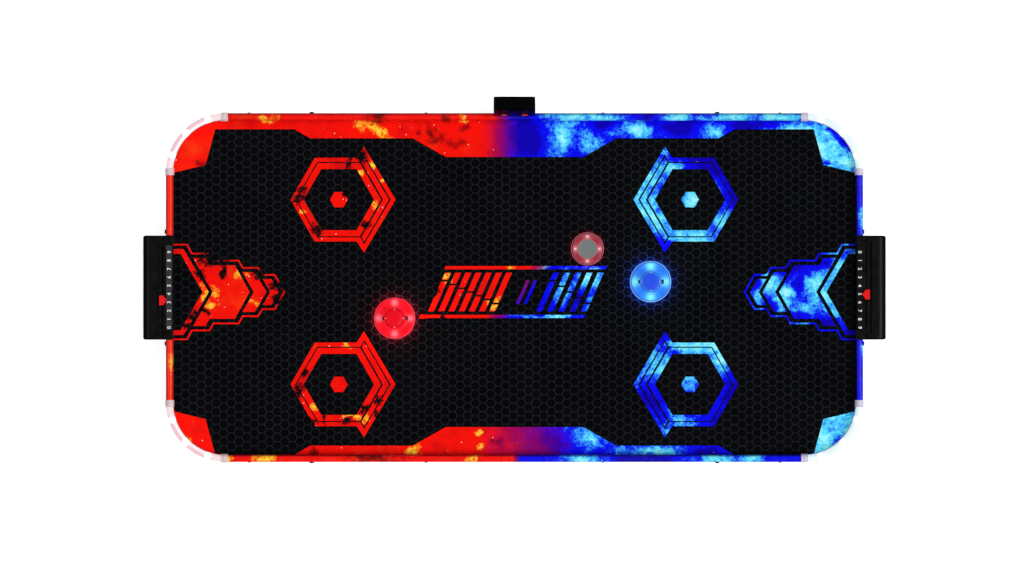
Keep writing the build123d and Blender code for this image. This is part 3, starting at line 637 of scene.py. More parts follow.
def lit_plastic(name, centre, look, lamps, strength, glow, rings, painted_glints):
    """Translucent plastic lit from inside. centre is the piece's axis at the playfield. look has the colours
    body, spot and knob, and haze, the share of spot spread about the lamps. lamps is (distance from the
    axis, size) of four soft lamps. glow is (colour, least radius, greatest height, strength) of the undercut
    foot of the wall, which throws light on the field. rings are painted highlight and painted shade lines
    at the edges, each (radius, half width, least height, colour), and glints are painted highlight dots
    (radius, height, size), all in millimetres."""
    paint = Paint(name)
    local = paint.vector("ABSOLUTE", paint.vector("SUBTRACT", paint.place, tuple(centre)))
    flat = paint.stretched(1, 1, 0, local)
    radius = paint.length(flat)
    height = paint.parts(local)[2]
    lamp_r, lamp_size = lamps
    nearest = nearest_of(paint, [paint.vector("DISTANCE", flat, place, output=1)
                                 for place in ((lamp_r * MM, 0, 0), (0, lamp_r * MM, 0))])
    lamp = paint.step(nearest, lamp_size * MM, 0.0)
    haze = paint.step(nearest, 2.3 * lamp_size * MM, 0.0)
    inner = paint.step(radius, 0.62 * lamp_r * MM, 0.56 * lamp_r * MM)
    cloud = paint.noise(12, 3.0)
    colour = paint.mix(paint.times(haze, look["haze"]), look["body"], look["spot"])
    colour = paint.mix(inner, colour, look["knob"])
    colour = paint.mix(paint.times(cloud, 0.2), colour, look["knob"])
    colour = paint.mix(paint.times(lamp, 0.95), colour, look["spot"])
    # Painted highlight and painted shade lines along the edges
    for ring_r, half_width, least, painted_ring_colour in rings:
        off = paint.gap(radius, ring_r * MM)
        line = paint.times(paint.step(off, half_width * MM, 0.4 * half_width * MM),
                          paint.above(height, least * MM))
        colour = paint.mix(line, colour, painted_ring_colour)
    # Painted highlight dots, where the lamps show as glints
    for at_r, at_z, size in painted_glints:
        for x, y in ((at_r, 0), (0, at_r)):
            gap = paint.vector("DISTANCE", local, (x * MM, y * MM, at_z * MM), output=1)
            colour = paint.mix(paint.step(gap, size * MM, 0.3 * size * MM), colour, GLINT)
    shine, least_r, greatest_z, power = glow
    foot = paint.times(paint.above(radius, least_r * MM),
                      paint.times(paint.below(height, greatest_z * MM),
                                 paint.above(height, 1.0 * MM)))
    paint.bump(paint.noise(1.6, 3.0), 0.01)
    return paint.set(base_color=paint.mix(0.5, colour, NO_COLOUR),
                     emission_color=paint.mix(foot, colour, shine),
                     emission_strength=paint.between(foot, strength, power),
                     roughness=paint.between(cloud, 0.3, 0.42), specular_ior_level=0.1)


FINE_RINGS = 4000.0  # per metre


def spun_metal(name, centre, dark, light):
    """A disc with fine rings turned about its centre."""
    paint = Paint(name)
    radius = round_axis(paint, centre)[1]
    rings = paint.nodes.new("ShaderNodeTexNoise")
    rings.noise_dimensions = "1D"
    paint.join(rings.inputs["W"], paint.times(radius, FINE_RINGS))
    speck = paint.noise(0.9, 3.0, 0.7)
    tone = paint.add(paint.times(rings.outputs[0], 0.5), paint.times(speck, 0.5))
    paint.bump(tone, 0.03)
    return paint.set(base_color=paint.mix(paint.step(tone, 0.3, 0.7), dark, light), metallic=0.35,
                     roughness=paint.between(tone, 0.38, 0.55))


# ---------------------------------------------------------------- building meshes


def add_piece(name, verts, faces, material, body, slot, smooth_angle=None):
    """A mesh piece in the row frame that rides on a body."""
    mesh = bpy.data.meshes.new(name)
    mesh.from_pydata([tuple(v) for v in verts], [], faces)
    mesh.validate()
    mesh.materials.append(material)
    piece = bpy.data.objects.new(name, mesh)
    bpy.context.scene.collection.objects.link(piece)
    if smooth_angle is not None:
        smooth(mesh, smooth_angle)
    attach(piece, body)
    return piece


def smooth(mesh, angle):
    """Smooth faces, with sharp edges where they meet at more than angle degrees."""
    work = bmesh.new()
    work.from_mesh(mesh)
    bmesh.ops.recalc_face_normals(work, faces=work.faces)
    for face in work.faces:
        face.smooth = True
    for edge in work.edges:
        edge.smooth = not edge.is_manifold or edge.calc_face_angle(0.0) < radians(angle)
    work.to_mesh(mesh)
    work.free()


def rounded(points, steps=6):
    """An outline whose corners are rounded. Each point is (x, y) or (x, y, corner radius)."""
    outline = []
    count = len(points)
    for i, point in enumerate(points):
        radius = point[2] if len(point) > 2 else 0
        here = Vector(point[:2])
        if not radius:
            outline.append(here)
            continue
        back = (Vector(points[i - 1][:2]) - here).normalized()
        onward = (Vector(points[(i + 1) % count][:2]) - here).normalized()
        half = back.angle(onward) / 2
        inset = radius / tan(half)
        centre = here + (back + onward).normalized() * (radius / sin(half))
        start, end = here + back * inset - centre, here + onward * inset - centre
        sweep = start.angle_signed(end)
        for k in range(steps + 1):
            outline.append(centre + Matrix.Rotation(-sweep * k / steps, 2) @ start)
    return outline


def turned(outline, centre, steps=96, start=0.0, end=360.0):
    """Vertices and faces of a closed (radius, z) outline, in millimetres, turned about the upright axis at
    centre."""
    whole = end - start >= 360.0
    rows = steps if whole else steps + 1
    verts, faces, row_of = [], [], []
    for i in range(rows):
        angle = radians(start + (end - start) * i / steps)
        row = []
        for radius, height in outline:
            if radius < 1e-6 and i > 0:
                row.append(row_of[0][len(row)])
                continue
            row.append(len(verts))
            verts.append(Vector(centre) + Vector((radius * cos(angle), radius * sin(angle), height)) * MM)
        row_of.append(row)
    around = range(steps)
    for i in around:
        one, two = row_of[i], row_of[(i + 1) % rows]
        for j in range(len(outline)):
            k = (j + 1) % len(outline)
            face = []
            for index in (one[j], two[j], two[k], one[k]):
                if index not in face:
                    face.append(index)
            if len(face) > 2:
                faces.append(face)
    if not whole:
        faces.append(row_of[0])
        faces.append(row_of[-1][::-1])
    return verts, faces


def joined(parts):
    """Several (verts, faces) as one."""
    verts, faces = [], []
    for more_verts, more_faces in parts:
        first = len(verts)
        verts += more_verts
        faces += [[first + i for i in face] for face in more_faces]
    return verts, faces


def cut(piece, *blocks):
    """Cuts blocks, each (lowest, highest corner), out of a piece."""
    for low, high in blocks:
        bpy.ops.mesh.primitive_cube_add(size=1, location=(Vector(low) + Vector(high)) / 2)
        cutter = bpy.context.object
        cutter.scale = Vector(high) - Vector(low)
        bpy.context.view_layer.update()
        tool = piece.modifiers.new("cut", "BOOLEAN")
        tool.operation = "DIFFERENCE"
        tool.solver = "EXACT"
        tool.object = cutter
        settle(piece)
        bpy.data.objects.remove(cutter)


def settle(piece):
    """Makes the piece's modifiers part of its mesh."""
    bpy.context.view_layer.update()
    graph = bpy.context.evaluated_depsgraph_get()
    made = bpy.data.meshes.new_from_object(piece.evaluated_get(graph))
    piece.modifiers.clear()
    piece.data = made


WELD_GAP = 0.002 * MM
FLAT_ANGLE = radians(0.4)  # faces that meet at less count as one
HARD_ANGLE = radians(32.0)  # edges that turn by more are rounded


def soften(width, *names):
    """Rounds the hard edges of CAD nodes, which keep their own mesh underneath."""
    for name in names:
        piece = NODES[name]
        weld = piece.modifiers.new("weld", "WELD")
        weld.merge_threshold = WELD_GAP
        flat = piece.modifiers.new("flat", "DECIMATE")
        flat.decimate_type = "DISSOLVE"
        flat.angle_limit = FLAT_ANGLE
        edge = piece.modifiers.new("edge", "BEVEL")
        edge.width = width * MM
        edge.segments = 3
        edge.limit_method = "ANGLE"
        edge.angle_limit = HARD_ANGLE
        edge.harden_normals = True


def dress(material, *names):
    for name in names:
        slots = NODES[name].data.materials
        slots.clear()
        slots.append(material)


# ---------------------------------------------------------------- print on the playfield

HOLE_PITCH = 38.1  # millimetres
HOLE_R = 0.85  # art units
HOLE_SIDES = 12
HOLE_COLUMNS, HOLE_ROWS = 30, 14
HOLES = [((i - (HOLE_COLUMNS - 1) / 2) * HOLE_PITCH * MM / ART,
          ((j - (HOLE_ROWS - 1) / 2) * HOLE_PITCH * MM - ART_SHIFT) / ART)
         for i in range(HOLE_COLUMNS) for j in range(HOLE_ROWS)]
INK_T = 0.05  # how far the ink stands above the film, in millimetres
INK_SUNK = 0.02  # and how far it goes into it


def inside(point, loop):
    """True if the point is in the loop, by counting crossings."""
    x, y = point
    found = False
    for i, (x1, y1) in enumerate(loop):
        x0, y0 = loop[i - 1]
        if (y0 > y) != (y1 > y) and x < x0 + (x1 - x0) * (y - y0) / (y1 - y0):
            found = not found
    return found


def circle(x, y, radius):
    turns = [2 * pi * i / HOLE_SIDES for i in range(HOLE_SIDES)]
    return [(x + radius * cos(turn), y + radius * sin(turn)) for turn in turns]


def ink(name, loops, material):
    """A thin closed layer of print. Loops are in art units about the art's centre, and one inside another is
    a hole. The table's air holes are left open."""
    loops = [[tuple(point) for point in loop] for loop in loops]
    reach = HOLE_R + 0.4
    low = [min(p[k] for loop in loops for p in loop) - reach for k in (0, 1)]
    high = [max(p[k] for loop in loops for p in loop) + reach for k in (0, 1)]
    holes = [h for h in HOLES if low[0] < h[0] < high[0] and low[1] < h[1] < high[1]]
    points, edges = [], []
    for loop in loops + [circle(x, y, HOLE_R) for x, y in holes]:
        first = len(points)
        points += [Vector(p) for p in loop]
        edges += [(first + i, first + (i + 1) % len(loop)) for i in range(len(loop))]
    flat, _, triangles, _, _, _ = delaunay_2d_cdt(points, edges, [], 0, 1e-5)
    kept = []
    for triangle in triangles:
        x, y = sum((flat[i] for i in triangle), Vector((0, 0))) / 3
        open_here = any(hypot(x - hx, y - hy) < HOLE_R for hx, hy in holes)
        if not open_here and sum(inside((x, y), loop) for loop in loops) % 2:
            kept.append(list(triangle))
    return add_piece(name, *slab(flat, kept), material, "table", "playfield_print")


def slab(flat, triangles):
    """A closed layer of ink from flat triangles."""
    used = sorted({i for triangle in triangles for i in triangle})
    place = {index: k for k, index in enumerate(used)}
    count = len(used)
    verts = []
    for height in (INK_T, -INK_SUNK):
        verts += [(flat[i].x * ART, ART_Y + flat[i].y * ART, FIELD_Z + height * MM) for i in used]
    faces = []
    borders = set()
    for triangle in triangles:
        a, b, c = (place[i] for i in triangle)
        if (flat[used[b]] - flat[used[a]]).cross(flat[used[c]] - flat[used[a]]) < 0:
            b, c = c, b
        faces.append([a, b, c])
        faces.append([count + c, count + b, count + a])
        borders |= {(a, b), (b, c), (c, a)}
    for a, b in sorted(borders):
        if (b, a) not in borders:
            faces.append([b, a, count + a, count + b])
    return verts, faces


def mirrored(half):
    """A loop from its upper half, given as points with y >= 0."""
    return half + [(x, -y) for x, y in reversed(half) if y]


def hexagon(radius):
    return [(radius * cos(radians(a)), radius * sin(radians(a))) for a in range(0, 360, 60)]


def moved(loops, x, y, flip=1):
    return [[(x + flip * px, y + py) for px, py in loop] for loop in loops]


def stroke(points, width):
    """A band of that width along an open line, with mitred corners."""
    sides = {1: [], -1: []}
    for i, point in enumerate(points):
        here = Vector(point)
        before = (here - Vector(points[i - 1])).normalized() if i else None
        after = (Vector(points[i + 1]) - here).normalized() if i + 1 < len(points) else None
        way = ((before or after) + (after or before)).normalized()
        across = Vector((-way.y, way.x))
        lengthen = 1 / max(0.3, across.dot(Vector((-(after or before).y, (after or before).x))))
        for side, line in sides.items():
            line.append(tuple(here + across * (side * width / 2 * lengthen)))
    return sides[1] + sides[-1][::-1]


EDGE_X = (HALF_LONG - 0.3 * MM) / ART
FIELD_EDGE = [(120.7, 237.4), (179.1, 270.2), (359.1, 270.2), (386.8, 286.1), (526.1, 286.1), (543.2, 223.3),
              (EDGE_X, 209.8)]
CORNER_X = 505.5
CORNER_Y = 201.0
PRINT_CORNER_R = 91.3


def border_loops():
    """The printed border: from the rounded edge of the field in to the black hexagon field, in two halves."""
    loops = []
    for side in (1, -1):
        outer = []
        for turn in range(0, 91, 5):
            x = CORNER_X + PRINT_CORNER_R * cos(radians(turn))
            y = CORNER_Y + PRINT_CORNER_R * sin(radians(turn))
            outer.append((x * MM / ART, (side * y * MM - ART_SHIFT) / ART))
        inner = [(x, side * y) for x, y in FIELD_EDGE]
        right = inner + outer
        loops.append(right + [(-x, y) for x, y in reversed(right)])
    return loops


RING_PLACES = {"left_far": (-308.7, 162.4), "left_near": (-308.7, -162.4),
               "right_far": (308.7, 162.4), "right_near": (308.7, -162.4)}


def ring_loops():
    """A hexagon ring in two bands, with a spiked chevron on its +X side and a hexagon in the middle."""
    outer = mirrored([(99.7, 0), (44.1, 93.2), (31.4, 73.6), (-42.5, 73.6), (-85.0, 0)])
    split = mirrored([(91.2, 0), (44.5, 78.9), (37.2, 66.3), (-38.3, 66.3), (-76.6, 0)])
    chevron = [(88.0, 0), (44.7, 74.0), (39.9, 65.8), (77.8, 0), (39.9, -65.8), (44.7, -74.0)]
    return [outer, split, chevron, hexagon(74.2), hexagon(62.0), hexagon(15.6)]


def arrow_loops():
    """The stepped arrow in front of the right goal, pointing to the middle of the field."""
    end = EDGE_X
    steps = [(end, 83.2), (575.8, 83.2), (567.2, 67.5), (536.0, 67.5), (529.6, 55.2), (485.2, 55.2),
             (477.6, 42.4), (450.6, 42.4), (443.4, 30.0), (421.6, 30.0), (404.8, 0)]
    outline = stroke(steps + [(x, -y) for x, y in reversed(steps[:-1])], 2.9)
    band = [(end, 75.6), (582.0, 75.6), (537.4, 0), (582.0, -75.6), (end, -75.6), (end, -67.2),
            (587.0, -67.2), (548.4, 0), (587.0, 67.2), (end, 67.2)]
    head = [(530.7, 0), (564.8, 59.6), (543.0, 59.6), (536.2, 47.2), (491.6, 47.2), (465.4, 0),
            (491.6, -47.2), (536.2, -47.2), (543.0, -59.6), (564.8, -59.6)]
    chevrons = []
    for tip, back, rise, high in ((436.1, 22.2, 20.2, 35.0), (414.2, 15.2, 13.2, 22.8)):
        chevrons.append([(tip + back, 0), (tip + back + rise, high), (tip + rise, high), (tip, 0),
                         (tip + rise, -high), (tip + back + rise, -high)])
    return [outline, band, head] + chevrons


def centre_loops():
    """Long bars with slanted ends above and below, and between them rows of slanted stripes, each split by a
    gap, with two whole stripes in the middle."""
    slant = 0.44
    stripe_w, stripe_high, half_gap = 10.5, 34.0, 1.6

    def bar(x0, x1, y0, y1):
        return [(x0 + slant * y0, y0), (x1 + slant * y0, y0), (x1 + slant * y1, y1), (x0 + slant * y1, y1)]

    loops = [bar(-141, 143, 39.9, 45.6), bar(-107, 142, -45.8, -40.1), bar(-147, -109, -45.8, -40.1)]
    for first, count, pitch in ((-137, 7, 17.9), (53, 5, 19.6)):
        for i in range(count):
            x = first + i * pitch
            gap = 20 - 40 * i / (count - 1)
            loops.append(bar(x, x + stripe_w, -stripe_high, gap - half_gap))
            loops.append(bar(x, x + stripe_w, gap + half_gap, stripe_high))
    return loops + [bar(12, 17.5, -21, 21), bar(25.5, 31, -21, 21)]


def playfield_art():
    dress(honeycomb_print(), "playfield_print")
    ink("border_ink", border_loops(), border_print())
    # For each ring its flames or clouds, then its smoke or deeps, from the ring's centre
    grunge = {
        "left_far": (
            [(61, 61, 9, 6, 60), (39, 46, 9, 4, -55), (78, 33, 7, 5), (62, -9, 11, 8, -50),
             (-62, -20, 7, 5)],
            [(19, 63, 5, 15, -15), (41, 76, 10, 13), (-67, 17, 9, 8, 30), (-72, 2, 11, 7),
             (-39, -54, 12, 9, -60), (8.5, 8, 4, 5), (48, -44, 9, 7)]),
        "left_near": (
            [(13, 68, 7, 9), (-45, -41, 8, 8), (15, -56, 9, 4), (34, -60, 8, 5), (46, -63, 9, 9)],
            [(-62, 19, 9, 6, 30), (-69, -12, 8, 15), (-25, -60, 3, 12), (14, -66, 9, 5, 30),
             (47, -42, 12, 8, 50), (69, -26, 9, 7, 40), (66, -52, 4, 9), (-52, -62, 16, 6, -20)]),
    }
    frosty = {
        "right_far": (
            [(-80, 2, 62, 84), (6, -74, 90, 40), (0, 0, 34, 34), (62, -40, 22, 34, 30), (-40, 62, 30, 34)],
            [(44, 66, 62, 30), (80, 12, 26, 44), (-45, -88, 26, 24), (0, 74, 40, 12)]),
        "right_near": (
            [(-64, 44, 40, 44, 30), (10, 70, 80, 20), (-16, -68, 52, 22), (0, 0, 30, 30),
             (60, 44, 24, 34, -30)],
            [(44, -64, 50, 26), (76, -20, 22, 40), (-66, -34, 22, 40, 30), (-44, 88, 16, 14)]),
    }
    for name, (x, y) in RING_PLACES.items():
        left = name in grunge
        patches = (grunge if left else frosty)[name]
        here = [[(x + s[0], y + s[1], *s[2:]) for s in places] for places in patches]
        make = grunge_print if left else frost_print
        ink(f"ring_{name}", moved(ring_loops(), x, y, 1 if left else -1), make(f"ring_print_{name}", *here))
    flames = [(-543, 3, 11, 8, -70), (-526, 0, 10, 9, -50), (-546, -12, 7, 8), (-534, -24, 13, 6),
              (-484, 28, 8, 10, 60), (-454, -19, 11, 5, -10), (-472, 32, 6, 5)]
    smoke = [(-530, 60, 30, 14), (-512, 34, 5, 12), (-552, 32, 10, 9, 60), (-448, 30, 12, 9, -40),
             (-412, 13, 11, 14), (-418, -14, 12, 9), (-542, -34, 9, 6, -40), (-566, -40, 7, 11, -30),
             (-575, -60, 9, 8), (-424, 10, 8, 10)]
    clouds = [(526, 14, 32, 30), (530, -10, 30, 30), (512, -30, 24, 22), (450, 18, 24, 20),
              (428, -13, 14, 14), (545, 0, 20, 44), (574, 50, 24, 34, -30), (566, -40, 20, 30, 30),
              (480, -6, 24, 26)]
    deeps = [(500, 42, 40, 12), (548, 52, 14, 12), (545, -54, 26, 14), (500, -44, 22, 9), (424, 16, 12, 12),
             (448, -28, 14, 14), (500, 12, 9, 16), (586, -72, 20, 12)]
    ink("goal_arrow_left", moved(arrow_loops(), 0, 0, -1), grunge_print("arrow_print_left", flames, smoke))
    ink("goal_arrow_right", arrow_loops(), frost_print("arrow_print_right", clouds, deeps))
    ink("centre_motif", centre_loops(), centre_print())


# ---------------------------------------------------------------- rails, lit corners and sleeves

LAMP_ANGLES = (18.0, 45.0, 72.0)
LIGHT_LOW, LIGHT_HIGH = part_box("corner_light_right_far")
LIGHT_W = 12.0
LIGHT_OUT_R = LIGHT_HIGH.x - LIGHT_LOW.x
SLEEVE_WALL = 1.15 * MM


def corner_centre(corner):
    """The corner's turning centre: the inner corner of its quarter-round light."""
    low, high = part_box(f"corner_light_{corner}")
    along, across, _ = CORNERS[corner]
    return Vector((low.x if along > 0 else high.x, low.y if across > 0 else high.y, 0))


def corner_lights():
    """Quarter-round tubes with a round top and a channel beneath for the lamps."""
    out_r = LIGHT_OUT_R / MM
    in_r = out_r - LIGHT_W
    base, top = LIGHT_LOW.z / MM, LIGHT_HIGH.z / MM
    side = LIGHT_W / 2
    outline = rounded([(in_r, base, 0.4), (in_r, top, side - 0.1), (out_r, top, side - 0.1),
                       (out_r, base, 0.4), (in_r + 9, base), (in_r + 9, base + 7, 0.6),
                       (in_r + 3, base + 7, 0.6), (in_r + 3, base)], 10)
    for corner, (_, _, turn) in CORNERS.items():
        shape = turned(outline, corner_centre(corner), 72, turn, turn + 90)
        piece = add_piece(f"corner_tube_{corner}", *shape, corner_glow(corner), "table",
                          "corner_light_plastic", 40)
        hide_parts(f"corner_light_{corner}")


def collar(low, high):
    """A sleeve over a joint: a round-topped shell with rounded ends and two shallow bands. Its rows are
    (place along the sleeve, from -1 to 1, and inset in millimetres)."""
    along_x = (high - low).x < (high - low).y
    long_half = min((high - low).x, (high - low).y) / 2
    wide = max((high - low).x, (high - low).y)
    middle_of = (low + high) / 2
    rows = [(-1.0, 0.35), (-0.95, 0.08), (-0.86, 0.0), (-0.72, 0.0), (-0.66, 0.25), (-0.36, 0.25),
            (-0.3, 0.0), (0.3, 0.0), (0.36, 0.25), (0.66, 0.25), (0.72, 0.0), (0.86, 0.0), (0.95, 0.08),
            (1.0, 0.35)]
    spine = high.z - wide / 2

    def section(place, half, inset):
        points = [(-half + inset, low.z)]
        radius = half - inset
        points += [(radius * -cos(pi * k / 20), spine + radius * sin(pi * k / 20)) for k in range(21)]
        points.append((half - inset, low.z))
        if along_x:
            return [(middle_of.x + place, middle_of.y + aside, z) for aside, z in points]
        return [(middle_of.x + aside, middle_of.y + place, z) for aside, z in points]

    shell = [section(share * long_half, wide / 2, inset * MM) for share, inset in rows]
    shell += [section(share * long_half, wide / 2 - SLEEVE_WALL, 0) for share in (1.0, -1.0)]
    verts, faces = [], []
    count = len(shell[0])
    for ring in shell:
        verts += ring
    for i in range(len(shell)):
        for j in range(count - 1):
            a, b = i * count, (i + 1) % len(shell) * count
            faces.append([a + j, b + j, b + j + 1, a + j + 1])
    for j in (0, count - 1):
        faces.append([i * count + j for i in range(len(shell))])
    return verts, faces


def rails():
    film_material = rail_print()
    dress(film_material, "rail_far", "rail_near", *(f"rail_{corner}" for corner in CORNERS))
    shapes = [collar(low, high) for low, high in sticks_out("rail_sleeves")]
    paint = Paint("sleeve_plastic")
    broad = paint.grain(0.9, 0.02, 0.3, 0.42)
    # Painted light: the white sleeves are tinted pink on the left and lilac on the right, as if lit by the
    # red and blue corners beside them
    side = paint.step(paint.parts(paint.place)[0], -0.1, 0.1)
    colour = paint.mix(broad, paint.mix(side, rgb(206, 186, 188), rgb(196, 188, 210)),
                       paint.mix(side, rgb(232, 214, 216), rgb(220, 212, 232)))
    material = paint.set(base_color=colour, specular_ior_level=0.3)
    piece = add_piece("sleeve_collars", *joined(shapes), material, "table", "sleeve_plastic", 40)
    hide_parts("rail_sleeves")
    corner_lights()
    dress(circuit_board(), "corner_light_strips")


# ---------------------------------------------------------------- goal ends


def digit(figure, height):
    """A bold figure as a closed mesh in its own plane: its verts and faces, centred, in metres."""
    text = bpy.data.curves.new("figure", "FONT")
    text.body = figure
    text.size = 1.0
    text.offset = BOLDER
    text.extrude = 0.03
    holder = bpy.data.objects.new("figure", text)
    bpy.context.scene.collection.objects.link(holder)
    bpy.context.view_layer.update()
    mesh = bpy.data.meshes.new_from_object(holder.evaluated_get(bpy.context.evaluated_depsgraph_get()))
    work = bmesh.new()
    work.from_mesh(mesh)
    bmesh.ops.remove_doubles(work, verts=work.verts, dist=1e-5)
    work.to_mesh(mesh)
    work.free()
    places = [v.co.copy() for v in mesh.vertices]
    low = Vector([min(p[k] for p in places) for k in range(3)])
    high = Vector([max(p[k] for p in places) for k in range(3)])
    scale = height / (high.y - low.y)
    centre = (low + high) / 2
    verts = [Vector(((p.x - centre.x) * scale, (p.y - centre.y) * scale, p.z)) for p in places]
    faces = [list(f.vertices) for f in mesh.polygons]
    bpy.data.objects.remove(holder)
    bpy.data.meshes.remove(mesh)
    return verts, faces


DIGIT_H = 6.5 * MM
DIGIT_PITCH = 14.65 * MM
DIGIT_FIRST = -65.9 * MM
DIGIT_SHIFT = -3.9 * MM
DIGIT_T = 0.1 * MM  # how far a figure stands above its strip, and how far it goes into it
BOLDER = 0.022  # how far the font's outlines grow, for a figure of size 1


def score_numbers(end, material):
    """The figures 0 to 9 along the strip, with their tops outward."""
    way = ENDS[end]
    low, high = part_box(f"score_strip_{end}")
    strip_x = (low.x + high.x) / 2
    parts = []
    for figure in range(10):
        verts, faces = digit(str(figure), DIGIT_H)
        along = TABLE.y + DIGIT_SHIFT - way * (DIGIT_FIRST + figure * DIGIT_PITCH)
        turn = Matrix.Rotation(radians(-90 * way), 3, "Z")
        placed = []
        for v in verts:
            flat = turn @ Vector((v.x, v.y, 0))
            rise = DIGIT_T if v.z > 0 else -DIGIT_T
            placed.append(Vector((strip_x + flat.x, along + flat.y, high.z + rise)))
        parts.append((placed, faces))
    add_piece(f"score_numbers_{end}", *joined(parts), material, "table", "score_strip_plastic")


def goals():
    number = number_ink()
    box = moulded("goal_plastic", rgb(4, 4, 5), rgb(10, 10, 11), 0.9, 0.03, 0.3, 0.42, 0.14)
    strip_left = moulded("strip_left_plastic", rgb(47, 44, 47), rgb(58, 55, 58), 0.8, 0.02, 0.4, 0.5, 0.15)
    strip_right = moulded("strip_right_plastic", rgb(7, 7, 8), rgb(12, 12, 14), 0.8, 0.02, 0.4, 0.5, 0.1)
    slider = moulded("slider_plastic", rgb(218, 12, 16), rgb(236, 22, 24), 0.7, 0.015, 0.34, 0.44, 0.2)
    dress(strip_left, "score_strip_left")
    dress(strip_right, "score_strip_right")
    for end in ENDS:
        dress(box, f"goal_box_{end}")
        dress(slider, f"score_slider_{end}")
        soften(0.7, f"goal_box_{end}")
        soften(0.4, f"score_slider_{end}", f"score_strip_{end}")
        score_numbers(end, number)


# ---------------------------------------------------------------- control box


def rocker_plastic(node):
    """Red plastic, with painted light at its raised lower end, bright and glowing, and painted shade
    darkening it towards the pressed upper end.
    """
    low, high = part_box(node)
    paint = Paint(f"{node}_plastic")
    x, _, z = paint.parts(paint.place)
    # Painted light on the raised lower end and painted shade on the pressed upper end
    painted_lit_end = paint.step(z, low.z + 0.48 * (high.z - low.z), low.z + 0.28 * (high.z - low.z))
    aside = paint.gap(x, (low.x + high.x) / 2)
    painted_lit_end = paint.times(painted_lit_end, paint.step(aside, 5.2 * MM, 4.5 * MM))
    mottle = paint.noise(3, 3.0)
    colour = paint.mix(painted_lit_end, paint.mix(mottle, rgb(26, 4, 8), rgb(44, 6, 12)),
                       paint.mix(mottle, rgb(236, 44, 70), rgb(255, 82, 108)))
    paint.bump(paint.noise(0.8, 2.0), 0.008)
    return paint.set(base_color=colour, emission_color=colour,
                     emission_strength=paint.between(painted_lit_end, 0.0, 0.25),
                     roughness=paint.between(mottle, 0.15, 0.22), specular_ior_level=0.4)


def polished_black(node):
    """Black plastic, polished to a mirror at the foot of its sloping front and duller towards the top."""
    low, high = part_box(node)
    paint = Paint("control_plastic")
    smear = paint.noise(20, 4.0, 0.6)
    height = paint.parts(paint.place)[2]
    shine = paint.step(height, high.z - 4.0 * MM, high.z - 21.0 * MM)
    paint.bump(paint.noise(2.4, 3.0), 0.004)
    return paint.set(base_color=paint.mix(smear, rgb(1, 1, 2), rgb(4, 4, 5)),
                     roughness=paint.between(smear, 0.3, 0.4), specular_ior_level=0.04,
                     coat_weight=shine, coat_roughness=0.05, coat_ior=2.4)


def controls():
    bezel = moulded("switch_plastic", rgb(4, 4, 5), rgb(10, 10, 11), 0.8, 0.02, 0.26, 0.36, 0.12)
    dress(polished_black("control_box"), "control_box")
    dress(bezel, "fan_switch_body", "light_switch_body", "power_jack")
    for name in ("fan_rocker", "light_rocker"):
        dress(rocker_plastic(name), name)
    dress(circuit_board(), "control_board")
    soften(0.8, "control_box")
    soften(0.3, "fan_switch_body", "light_switch_body", "fan_rocker", "light_rocker", "power_jack")


# ---------------------------------------------------------------- frame and underside


def hex_socket_head(low, high):
    """A domed fastener with a hexagon socket, in place of one CAD fastener, along its own axis.
    rings are (radius, depth below the outermost point, whether it is the six-sided socket)."""
    size = high - low
    axis = 0 if size.x > size.y else 1
    centre = (low + high) / 2
    outward = 1 if centre[axis] > TABLE[axis] else -1
    face = (high if outward > 0 else low)[axis]
    side = 1 if outward > 0 else 0
    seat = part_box("apron_right" if outward > 0 else "apron_left") if axis == 0 else \
        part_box("apron_far" if outward > 0 else "apron_near")
    head_r = size.z / 2
    head_h = abs(face - seat[side][axis])
    socket_r = 0.42 * head_r
    lip_r = 1.25 * socket_r
    shank_r = 0.62 * head_r
    rings = [(shank_r, size[axis], False), (shank_r, head_h, False)]
    for k in range(9):
        turn = radians(90 * k / 8)
        rings.append((lip_r + (head_r - lip_r) * cos(turn) ** 0.7, head_h * (1 - sin(turn) ** 0.8), False))
    rings += [(socket_r, 0.0, True), (socket_r * 0.96, head_h * 0.6, True)]
    verts, faces = [], []
    steps = 36
    for radius, depth, six in rings:
        for k in range(steps):
            angle = 2 * pi * k / steps
            reach = radius * (cos(pi / 6) / cos((angle % (pi / 3)) - pi / 6) if six else 1.0)
            place = Vector((0, 0, centre.z + reach * sin(angle)))
            place[axis] = face - outward * depth
            place[1 - axis] = centre[1 - axis] + reach * cos(angle)
            verts.append(place)
    for i in range(len(rings) - 1):
        for k in range(steps):
            n = (k + 1) % steps
            faces.append([i * steps + k, i * steps + n, (i + 1) * steps + n, (i + 1) * steps + k])
    faces.append(list(range(steps)))
    faces.append([(len(rings) - 1) * steps + k for k in range(steps)][::-1])
    return verts, faces


